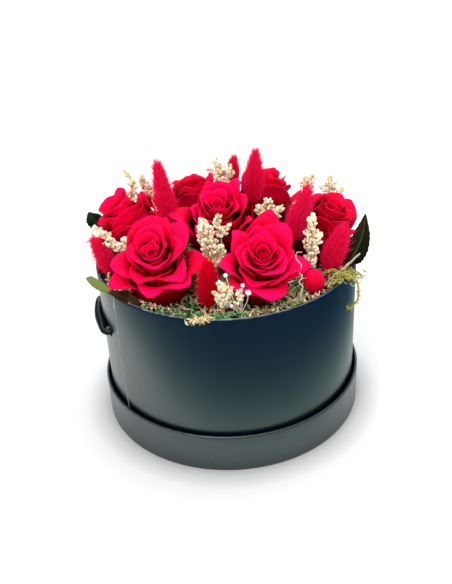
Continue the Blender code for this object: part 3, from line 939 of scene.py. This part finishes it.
def add_buds(shape, start, tip, radius, buds, rng):
    """One arm of a sprig: fine side branches that each end in a small lumpy bud."""
    start, tip = turned(start), turned(tip)
    length, axis, side, other = frame_along(start, tip)
    shape.tube(np.linspace(start, start + axis * length * 0.9, 5), 0.4, 6, 0.5, 0.4)

    t = np.sort(rng.uniform(0.04, 1.0, buds))
    out = outwards(side, other, rng.uniform(0, TAU, buds))
    reach = radius * np.interp(t, (0, 0.2, 0.5, 0.85, 1), (0.5, 0.85, 1.0, 0.7, 0.15))
    reach = reach * rng.beta(2.6, 1.0, buds)
    root = start + axis * (np.clip(t - 0.16, 0, 1) * length)[:, None]
    head = start + axis * (t * length)[:, None] + out * reach[:, None]
    head += rng.normal(0, 0.3, head.shape)
    middle = (root + head) / 2 + out * (reach * 0.12)[:, None]
    shape.add(*tubes(np.stack([root, middle, head], 1), 0.24, sides=4, seed=buds), 0.55, 0.5)

    template, faces = ball(2)
    size = rng.uniform(0.80, 1.30, buds)
    long = rng.uniform(1.05, 1.65, buds)
    grow = unit(head - middle) + axis[None] * 0.3 + rng.normal(0, 0.3, head.shape)
    turns = turn_matrices(grow, rng.uniform(0, TAU, buds))
    lumps = 1 + 0.16 * np.sin(template @ rng.normal(0, 3.0, (3, buds)) + rng.uniform(0, TAU, buds)[None])
    body = template[None] * lumps.T[..., None] * size[:, None, None]
    body[..., 2] *= long[:, None]
    verts = np.einsum("bij,bvj->bvi", turns, body) + head[:, None]
    count = len(template)
    all_faces = (faces[None] + (np.arange(buds) * count)[:, None, None]).reshape(-1, 3)
    # painted shade: each bud darker on its underside, down between the buds
    shade = np.clip(0.80 + 0.30 * np.tile(template[:, 2], buds), 0, 1)
    shape.add(verts, all_faces, shade, np.repeat(np.clip(rng.normal(0.60, 0.22, buds), 0, 1), count))


def build_sprig(label, mat):
    """A dried flower sprig on a fine stem."""
    foot, *arms = SPRIGS[label]
    rng = np.random.default_rng(len(label) * 17 + len(arms))
    shape = Shape()
    stem = np.vstack([stem_path(foot, 122.0), turned(arms[0][0])])
    shape.tube(stem, np.linspace(0.75, 0.45, len(stem)), 6, 0.5, 0.3)
    for arm in arms:
        add_buds(shape, *arm, rng)
    shape.piece(f"sprig_buds_{label}", mat, "box", "cream_sprigs", (f"sprig_{label}",))


def build_white_balls(mat):
    """A few round white heads on hair-thin stems among the front sprigs."""
    rng = np.random.default_rng(19)
    template, faces = ball(3)
    shape = Shape()
    for place, size in WHITE_BALLS:
        centre = turned(place)
        lumps = 1 + 0.10 * np.sin(template @ rng.normal(0, 6.0, (3,)) + 1.0)
        lumps = lumps + 0.05 * rng.normal(size=len(template))
        shape.add(template * lumps[:, None] * size + centre, faces, 1.0, 1.0)
        root = turned(WHITE_BALL_FOOT)
        stem = spline([root, (root + centre) / 2 + rng.normal(0, 0.8, 3), centre], 10)
        shape.tube(stem, 0.28, 6, 0.9, 0.9)
    shape.piece("white_balls", mat, "box", "cream_sprigs")


# ---------------------------------------------------------------- moss


def moss_height(r):
    return np.interp(r, *MOSS_PROFILE)


def greenness(ground):
    """Where the moss is green: a patch at the middle of the front, and smaller ones round the ring."""
    x, y = turned(ground, -ARRANGEMENT_TURN).T
    front = np.exp(-(((x + 16) / 28) ** 2 + ((y + 88) / 18) ** 2))
    patches = 0.5 + 0.5 * np.sin(0.11 * x + 2.0) * np.sin(0.13 * y + 0.5)
    return np.clip(0.95 * front + 0.55 * patches**2, 0, 1)


def scatter(rng, count):
    """Places strewn evenly over the part of the moss that is sown."""
    low, high = MOSS_SOWN
    radius = np.sqrt(rng.uniform(low**2, high**2, count))
    angle = rng.uniform(0, TAU, count)
    return np.stack([radius * np.cos(angle), radius * np.sin(angle)], -1)


def kept_inside(paths, limit):
    """Draw back what lies past the limit, and tell how far from the axis it all is then."""
    radius = np.linalg.norm(paths[..., :2], axis=-1)
    paths[..., :2] *= np.minimum(1.0, limit / np.maximum(radius, 1e-6))[..., None]
    return np.linalg.norm(paths[..., :2], axis=-1)


def wander(rng, low, high, turn, count, stations):
    """Angles that start between low and high and drift from station to station."""
    return rng.uniform(low, high, (count, 1)) + np.cumsum(rng.normal(0, turn, (count, stations)), 1)


def build_moss_cushion(rng, mat):
    """The uneven ground under the strands, level below at the foam's top."""
    sides, rings = 160, 44
    r = np.linspace(0.5, MOSS_RADIUS, rings)[:, None]
    a = around(sides)[None]
    x, y = r * np.cos(a), r * np.sin(a)
    rough = 0.7 * np.sin(0.55 * x + 1.1 * np.sin(0.3 * y)) * np.sin(0.6 * y)
    rough = rough + 0.5 * np.sin(1.3 * x) * np.sin(1.1 * y)
    rough = rough + rng.normal(0, 0.28, rough.shape)
    z = moss_height(r) + rough * smooth_step(r, 2, 20)
    floor = lathe_points([(MOSS_RADIUS, FOAM_TOP + 0.3)], sides)
    shape = Shape()
    faces = [block[:, ::-1] for block in closed_rings(rings + 1, sides)]
    shape.add(np.concatenate([np.stack([x, y, z], -1), floor]), faces)
    shape.piece("moss_cushion", mat, "box", "moss", ("moss_bed",))


def build_tan_moss(rng, mat):
    """Coarse curled fibres that lie over each other, and a few that spill over the rim at the front."""
    ground = scatter(rng, 3200)
    ground = ground[rng.uniform(size=len(ground)) > greenness(ground) * 0.9]
    count, stations, sides = len(ground), 7, 5
    heading = wander(rng, 0, TAU, 0.8, count, stations)
    lift = wander(rng, -0.2, 0.6, 0.35, count, stations)
    step = rng.uniform(0.7, 1.5, count)[:, None]
    flat = np.cos(lift) * step
    move = np.stack([np.cos(heading) * flat, np.sin(heading) * flat, np.sin(lift) * step * 0.8], -1)
    paths = np.cumsum(move, 1)
    paths -= paths.mean(1, keepdims=True)
    paths[..., :2] += ground[:, None]
    radius = kept_inside(paths, MOSS_RADIUS - 0.6)
    swell = 4.5 * smooth_step(radius, *MOSS_PILE) * rng.beta(1.6, 1.4, (count, 1))
    paths[..., 2] += moss_height(radius) + 0.8 + swell + rng.uniform(0, 1.4, (count, 1))
    thick = rng.uniform(0.40, 1.20, (count, 1)) * np.array([0.4, 0.9, 1.0, 0.75, 1.0, 0.8, 0.3])[None]
    shape = Shape()
    verts, faces = tubes(paths, thick, sides, flat=0.6, seed=8)
    shape.add(verts, faces, 0.5, np.repeat(rng.beta(1.3, 1.1, count), stations * sides))

    count = 44
    spill = rng.normal(0, 1, (count, 1, 3)) * (3.6, 1.3, 0.5) + turned((-20.0, -97.3, 131.4))
    heading = wander(rng, 0, TAU, 0.7, count, stations)
    sine = np.sin(heading)
    crawl = np.stack([np.cos(heading), -0.35 - 0.4 * np.abs(sine), -0.12 + 0.35 * sine], -1)
    over = np.cumsum(crawl * 0.62, 1)
    over[..., 2] -= 0.035 * (np.arange(stations) ** 2)[None]
    thick = rng.uniform(0.3, 0.6, (count, 1)) * np.linspace(1, 0.4, stations)[None]
    verts, faces = tubes(spill + over, thick, sides, seed=4)
    shape.add(verts, faces, 0.5, np.repeat(rng.uniform(0.1, 0.8, count), stations * sides))
    shape.piece("moss_tan_fibres", mat, "box", "moss")


def build_green_moss(rng, mat):
    """Small feathery tufts."""
    ground = scatter(rng, 2500)
    ground = ground[rng.uniform(size=len(ground)) < greenness(ground) * 1.1]
    tufts, leaves, stations, sides = len(ground), 15, 4, 3
    count = tufts * leaves
    a = rng.uniform(0, TAU, count)
    rise = rng.uniform(0.1, 1.5, count)
    way = np.stack([np.cos(a) * np.cos(rise), np.sin(a) * np.cos(rise), np.sin(rise)], -1)
    long = rng.uniform(1.6, 4.4, count)
    steps = np.linspace(0, 1, stations)
    base = np.repeat(ground, leaves, 0)
    radius = np.linalg.norm(base, axis=-1)
    swell = np.repeat(rng.uniform(0.5, 5.5, tufts), leaves) * smooth_step(radius, *MOSS_PILE)
    root = np.concatenate([base, (moss_height(radius) + 0.4 + swell)[:, None]], 1)
    paths = root[:, None] + way[:, None] * (long[:, None] * steps)[..., None]
    paths[..., 2] -= (long[:, None] * steps**2) * 0.25
    kept_inside(paths, MOSS_RADIUS - 0.3)
    thick = rng.uniform(0.25, 0.55, (count, 1)) * np.array([0.7, 1.0, 0.8, 0.15])[None]
    verts, faces = tubes(paths, thick, sides, flat=0.5, seed=9)
    tuft_shade = np.repeat(rng.normal(0.45, 0.25, tufts), leaves)
    shade = np.clip(tuft_shade + rng.normal(0, 0.15, count), 0, 1)
    shape = Shape()
    shape.add(verts, faces, 0.5, np.repeat(shade, stations * sides))
    shape.piece("moss_green_tufts", mat, "box", "moss")


# ---------------------------------------------------------------- leaves and loose bits


def leaf_blade(path, widths, across_way, fold, cup, teeth):
    """A blade on a spine: folded along its midrib, with a toothed margin."""
    rows, cols = 46, 15
    spine = spline(path, rows)
    along = unit(np.gradient(spine, axis=0))
    across = np.asarray(across_way, float)[None]
    across = unit(across - along * (along * across).sum(-1, keepdims=True))
    normal = np.cross(across, along)
    half = np.interp(np.linspace(0, 1, rows), np.linspace(0, 1, len(widths)), widths)
    half = np.convolve(np.pad(half, 2, mode="edge"), np.ones(5) / 5, "valid")
    half[-1] = 0.15
    u = np.linspace(-1, 1, cols)[None, :]
    saw = 1.0 - teeth * (np.arange(rows) % 3 / 2.0)[:, None] * np.abs(u) ** 4
    out = half[:, None] * u * saw
    height = -fold * np.abs(out) + cup * (out**2) / np.maximum(half, 1e-3)[:, None] / 4
    quilting = 0.14 * np.cos(np.arange(rows) * 1.1)[:, None] * np.abs(u) * (1 - u**2)
    lifted = normal[:, None] * (height + quilting)[..., None]
    points = spine[:, None] + across[:, None] * out[..., None] + lifted
    return points, np.broadcast_to(np.abs(u), (rows, cols))


def build_leaf(label, mat):
    """A leaf and its stalk. The tip colour comes in between the two shares of its length."""
    path, widths, across, light, fold, cup, teeth = LEAVES[label]
    foot = path[0]
    points, rib = leaf_blade(turned(path), widths, turned(across), fold, cup, teeth)
    rows, cols = rib.shape
    tone = np.repeat(smooth_step(np.linspace(0, 1, rows), *light), cols)
    shape = Shape()
    shape.sheet(points, 0.45, tone, rib)
    stalk = [(foot[0], foot[1], STEM_FOOT), (foot[0], foot[1], 110.0), foot, path[1]]
    shape.tube(turned(spline(stalk, 14)), 0.85, 8, 0.0, 0.5)
    shape.piece(f"leaf_blade_{label}", mat, "box", "preserved_leaves", (f"leaf_{label}",))


def build_leaves():
    green = leaf_material("leaf_green", (0.004, 0.022, 0.008), (0.010, 0.045, 0.016), (0.012, 0.05, 0.02))
    mixed = leaf_material("leaf_two_tone", (0.018, 0.004, 0.003), (0.060, 0.030, 0.014), (0.16, 0.21, 0.05))
    dark = leaf_material("leaf_dark", (0.001, 0.006, 0.001), (0.006, 0.008, 0.001), (0.014, 0.008, 0.001))
    build_leaf("left", green)
    build_leaf("front_left", mixed)
    build_leaf("right", dark)


# the way each petal of the closed bud faces, and its scale
BUD_PETALS = ((-5, 1.0), (125, 0.93), (235, 0.95), (80, 0.8), (200, 0.74))


def build_loose_petal(mat):
    """A small closed bud of rounded petals tucked into the moss at the front right."""
    shape = Shape()
    middle = turned((60.0, -62.0, 134.5))
    lean = lean_matrix(14, 150)
    across = np.linspace(-1, 1, 25)[None, :]
    share = np.linspace(0, 1, 20)[:, None]
    v = share * (1.0 - 0.16 * np.abs(across) ** 2.5)
    for index, (facing, scale) in enumerate(BUD_PETALS):
        sweep = math.pi * (0.05 + 0.86 * v)
        r = 6.4 * scale * np.sin(sweep) * (1 + 0.10 * across) + 0.3 * smooth_step(v, 0.85, 1.0)
        r = r + 1.1 * scale * smooth_step(np.abs(across), 0.72, 1.0) * smooth_step(v, 0.1, 0.5)
        z = -10.2 * scale * np.cos(sweep)
        angle = math.radians(facing) + across * math.radians(78)
        points = np.stack([r * np.cos(angle), r * np.sin(angle), z], -1)
        # painted shade and highlight as on the roses: darker at the foot, brighter towards the lip and the
        # edges
        tone = 0.30 + 0.55 * v + 0.15 * np.abs(across) ** 3
        shape.sheet(points @ lean.T + middle, 0.4, tone, 0.2 * index)
    core, faces = ball(3)
    # the core is dark with painted shade
    shape.add(core * (4.4, 4.4, 7.0) @ lean.T + middle, faces, 0.1)
    foot = turned([(57, -64, STEM_FOOT), (57, -64, 110), (57, -64, 120), (58.0, -63.5, 127)])
    shape.tube(foot, 0.7, 8, 0.1)
    shape.piece("petal_bud", mat, "box", "rose_petals", ("petal_loose",))


def branching(points, radii, rng, twigs, reach):
    """A main strand with short side strands off it."""
    samples, stations = 40, 16
    main = spline(points, samples)
    main = main + 0.25 * np.sin(np.linspace(0, 30, samples))[:, None] * rng.normal(0, 0.6, (1, 3))
    thick = np.interp(np.linspace(0, 1, samples), np.linspace(0, 1, len(radii)), radii)
    shape = Shape()
    shape.tube(main, thick, 6, 0.5, 0.6)
    if twigs:
        start = main[rng.integers(8, samples - 1, twigs)]
        way = unit(rng.normal(0, 1, (twigs, 3)) + np.array([0, 0, 0.5]))
        bend = np.cumsum(rng.normal(0, 0.35, (twigs, stations, 3)), 1)
        steps = np.linspace(0, 1, stations)
        long = rng.uniform(0.4, 1.0, twigs) * reach
        paths = start[:, None] + (way[:, None] + bend * 0.25) * (long[:, None] * steps)[..., None]
        thick = np.linspace(0.30, 0.10, stations)[None] * rng.uniform(0.8, 1.2, (twigs, 1))
        speck = np.repeat(rng.uniform(0, 1, twigs), stations * 4)
        shape.add(*tubes(paths, thick, sides=4, seed=twigs), 0.5, speck)
    return shape


# the middle lines of the loose bits, up from their feet in the foam
TWIG = (
    (74, -54, STEM_FOOT), (74, -54, 124), (78, -50, 131),
    (84, -46, 134), (91, -41.5, 138), (97.5, -36.5, 141),
)
TENDRIL = (
    (50, -77, STEM_FOOT), (50, -77, 124), (50, -77, 134), (51.5, -75, 138), (49.0, -74, 141),
    (51.5, -72, 144), (49.5, -70, 147), (51.5, -67, 150), (48.0, -63, 154), (49.0, -61, 157),
    (52.5, -60, 157),
)
CURL = (
    (79, -45, STEM_FOOT), (79, -45, 125), (82, -52, 133.5), (87, -57, 134), (92, -57, 128),
    (94, -55, 120), (93.5, -53.5, 112), (90, -53, 105.5), (87, -55, 106), (85.5, -57, 109),
)


def build_twigs(twig_mat, thread_mat, curl_mat):
    """The dry twig, the pale tendril and the yellow moss that hangs over the rim."""
    rng = np.random.default_rng(77)
    shape = branching(turned(TWIG), [0.8, 0.9, 1.25, 1.1, 0.8, 0.5], rng, 5, 6.0)
    shape.piece("twig", twig_mat, "box", "dry_twigs", ("twig_right",))
    shape = branching(turned(TENDRIL), [0.42, 0.36, 0.34, 0.30, 0.24], rng, 3, 4.0)
    shape.piece("tendril", thread_mat, "box", "dry_twigs", ("tendril_front",))

    shape = branching(turned(CURL), [0.8, 0.9, 0.8, 0.75, 0.65, 0.4], rng, 0, 0.0)
    strands, stations = 90, 10
    tangle = rng.normal(0, 1, (strands, 1, 3)) * np.array([6.5, 4.5, 1.3]) + turned((82, -53, 132.0))
    heading = np.cumsum(rng.normal(0, 0.8, (strands, stations)), 1)
    move = np.stack([np.cos(heading), np.sin(heading), 0.45 * np.sin(2.2 * heading)], -1) * 0.9
    thick = np.linspace(0.55, 0.2, stations)[None]
    shape.add(*tubes(tangle + np.cumsum(move, 1), thick, sides=4, seed=6), 0.5, 0.7)
    hang = spline(turned(CURL), 40)[22:38]
    whiskers, stations = 26, 6
    whisker = rng.normal(0, 1, (whiskers, 1, 3)) * 0.4 + hang[rng.integers(0, len(hang), whiskers)][:, None]
    drift = np.cumsum(rng.normal(0, 0.5, (whiskers, stations, 3)), 1)
    thick = np.linspace(0.35, 0.15, stations)[None]
    shape.add(*tubes(whisker + drift, thick, sides=4, seed=7), 0.5, 0.6)
    shape.piece("yellow_moss_curl", curl_mat, "box", "yellow_moss", ("moss_curl",))


# ---------------------------------------------------------------- stage (in metres)


FLOOR_HALF = 9.0
FLOOR_Z = -0.0002
# how far out from the lid the floor's painted contact shadow fades
SHADE_WIDTH = 0.10


def emitter(name, *stops):
    """A glow whose colour follows the mesh's shade values."""
    n = Nodes(name)
    glow = n.new("ShaderNodeEmission")
    n.link(n.ramp(n.attribute("shade"), *stops), glow.inputs["Color"])
    n.link(glow.outputs["Emission"], n.tree.nodes["Material Output"].inputs["Surface"])
    n.tree.nodes.remove(n.shader)
    return n.mat


def build_floor():
    """A white floor just under the lid, with a painted contact shadow: darker where it meets the lid."""
    n = Nodes("floor_white_painted_shadow")
    n.set(Roughness=0.9, Specular_IOR_Level=0.1)
    reach = n.new("ShaderNodeVectorMath", operation="LENGTH")
    n.link(n.new("ShaderNodeNewGeometry").outputs["Position"], reach.inputs[0])
    away = n.math("ADD", reach.outputs["Value"], n.times(n.noise(8.0), 0.004))
    away = n.times(n.math("SUBTRACT", away, LID_OUTER_RADIUS * MM), 1.0 / SHADE_WIDTH)
    # painted contact shadow: grey by the lid, fading out to white
    colour = n.ramp(
        away,
        (0.0, (0.48, 0.48, 0.485)),
        (0.08, (0.66, 0.66, 0.663)),
        (0.22, grey(0.86)),
        (1.0, grey(0.92)),
    )
    mesh = bpy.data.meshes.new("floor")
    ways = ((-1, -1), (1, -1), (1, 1), (-1, 1))
    mesh.from_pydata([(x * FLOOR_HALF, y * FLOOR_HALF, FLOOR_Z) for x, y in ways], [], [(0, 1, 2, 3)])
    mesh.materials.append(n.finish(colour))
    linked("floor", mesh)


def build_flag():
    """A glowing card that only reflections see: a painted reflection on the wall, from grey by the box to
    deep blue, that keeps the wall dark.
    """
    # how far beyond the inner edge, height and shade
    section = (
        (0.00, 0.0015, 0.0),
        (0.03, 0.002, 0.45),
        (0.07, 0.002, 0.75),
        (0.12, 0.002, 1.0),
        (0.40, 0.006, 1.0),
        (0.90, 0.02, 1.0),
        (1.15, 0.10, 1.0),
        (1.25, 0.60, 1.0),
        (1.30, 1.30, 1.0),
    )
    ways = (-260.0, -205.0, -165.0, -140.0, -110.0, -60.0, -20.0, 15.0, 40.0)
    inner_edge = (ways, (0.42, 0.27, 0.208, 0.162, 0.131, 0.120, 0.126, 0.158, 0.24))
    steps = 72
    verts, shades = [], []
    for degrees in np.linspace(ways[0], ways[-1], steps + 1):
        inner = float(np.interp(degrees, *inner_edge))
        for beyond, z, shade in section:
            verts.append(polar(degrees, inner + beyond, z).tolist())
            shades.append(shade)
    mesh = bpy.data.meshes.new("flag")
    mesh.from_pydata(verts, [], grid_faces(steps + 1, len(section)).tolist())
    mesh.attributes.new("shade", "FLOAT", "POINT").data.foreach_set("value", shades)
    stops = (
        (0.0, (0.85, 0.97, 0.93)),
        (0.35, (0.55, 0.68, 0.64)),
        (0.7, (0.15, 0.29, 0.36)),
        (1.0, (0.0, 0.080, 0.23)),
    )
    mesh.materials.append(emitter("flag_blue", *stops))
    flag = linked("flag", mesh)
    flag.visible_camera = False
    flag.visible_diffuse = False
    flag.visible_shadow = False
    flag.visible_transmission = False


def area_light(name, place, aim, size, power):
    data = bpy.data.lights.new(name, "AREA")
    data.shape = "RECTANGLE"
    data.size, data.size_y = size
    data.energy = power
    light = linked(name, data)
    light.location = place
    light.rotation_mode = "QUATERNION"
    light.rotation_quaternion = (Vector(aim) - Vector(place)).to_track_quat("-Z", "Y")


def build_lights():
    world = bpy.data.worlds.new("studio")
    world.use_nodes = True
    background = world.node_tree.nodes["Background"]
    background.inputs["Color"].default_value = (1.0, 1.0, 1.0, 1.0)
    background.inputs["Strength"].default_value = 1.05
    bpy.context.scene.world = world
    area_light("key", (-0.5, -0.9, 1.3), (0, 0, 0.1), (0.9, 0.9), 8.0)
    area_light("top", (0.3, 0.4, 1.5), (0, 0, 0.1), (1.2, 1.2), 7.0)
    bpy.context.scene.view_settings.view_transform = "Standard"


def build_camera():
    """Above and in front, rolled a little, at the photograph's distance."""
    data = bpy.data.cameras.new("camera")
    data.lens = 47.67
    data.sensor_width = 36.0
    place = Vector((-0.1015, -0.5223, 0.4068))
    aim = Vector((-0.0044, -0.0148, 0.1019))
    ahead = (aim - place).normalized()
    right = ahead.cross(Vector((0, 0, 1))).normalized()
    up = right.cross(ahead)
    roll = math.radians(-3.23)
    rolled_right = right * math.cos(roll) + up * math.sin(roll)
    rolled_up = up * math.cos(roll) - right * math.sin(roll)
    turn = Matrix((rolled_right, rolled_up, -ahead)).transposed()
    camera = linked("camera", data)
    camera.matrix_world = turn.to_4x4()
    camera.location = place
    bpy.context.scene.camera = camera


# ---------------------------------------------------------------- assembly


def paint_cad_nodes():
    """Better materials for the CAD nodes whose shape is kept."""
    stem = plain_grain("stem_green", (0.07, 0.11, 0.03), (0.20, 0.24, 0.09), 250.0, 0.65, stretch=(1, 1, 0.2))
    looks = {
        "foam_": foam_material(),
        "rose_stem_": stem,
        "box_base": plain_grain("grey_board_fibre", (0.13, 0.12, 0.10), (0.24, 0.22, 0.19), 400.0, 0.85),
        "lid_disc": paper_material("lid_paper_flat", top=BOARD, wear_and_highlight=0.0),
    }
    for name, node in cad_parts.items():
        for start, look in looks.items():
            if name.startswith(start):
                node.data.materials.clear()
                node.data.materials.append(look)


def main():
    for other in [o for o in bpy.data.objects if o.type in ("LIGHT", "CAMERA")]:
        bpy.data.objects.remove(other)
    build_camera()
    build_floor()
    build_flag()
    build_lights()
    paint_cad_nodes()

    paper = paper_material()
    lid_paper = paper_material("lid_paper_wrap", top=LID_HEIGHT, wear_and_highlight=0.12)
    wall = board_tube("wall", BOX_OUTER_RADIUS, BOX_BOTTOM, BOX_HEIGHT, paper, "box", "box_wall", 0.12)
    cut_cord_holes(wall)
    board_tube("lid_wall", LID_OUTER_RADIUS, 0.0, LID_HEIGHT, lid_paper, "lid", "lid_rim", 0.10)
    build_seam(plain_grain("raw_paper_edge", (0.22, 0.25, 0.25), (0.42, 0.45, 0.44), 500.0, 0.7))
    cord = cord_material()
    for label in HANDLES:
        build_handle(label, cord)
    build_knots(cord)

    petals = petal_material()
    for label in ROSES:
        build_rose(label, petals)
    hair = hair_material()
    for label in TAILS:
        build_tail(label, hair)
    buds = bud_material()
    for label in SPRIGS:
        build_sprig(label, buds)
    build_white_balls(plain_grain("white_heads", (0.72, 0.66, 0.58), (0.95, 0.92, 0.88), 900.0, 0.8))
    moss = np.random.default_rng(5)
    # the ground under the strands is dark brown-green, painted near black for the shade in the gaps between
    # strands
    dark_ground_and_painted_shade = plain_grain("moss_ground", (0.006, 0.008, 0.003), (0.035, 0.030, 0.012), 260.0, 0.95, bump=0.8)
    build_moss_cushion(moss, dark_ground_and_painted_shade)
    tan = strand_material("moss_tan", (0.24, 0.14, 0.04), (0.84, 0.64, 0.32), (1.0, 0.92, 0.66))
    build_tan_moss(moss, tan)
    green = strand_material("moss_green", (0.015, 0.07, 0.015), (0.09, 0.36, 0.09), (0.34, 0.66, 0.28))
    build_green_moss(moss, green)
    build_leaves()
    build_loose_petal(petals)
    build_twigs(
        plain_grain("twig_bark", (0.36, 0.24, 0.12), (0.72, 0.58, 0.36), 500.0, 0.85),
        plain_grain("pale_thread", (0.62, 0.48, 0.34), (0.92, 0.84, 0.70), 700.0, 0.8),
        strand_material("yellow_moss", (0.12, 0.12, 0.015), (0.34, 0.33, 0.05), (0.56, 0.50, 0.16)),
    )


main()
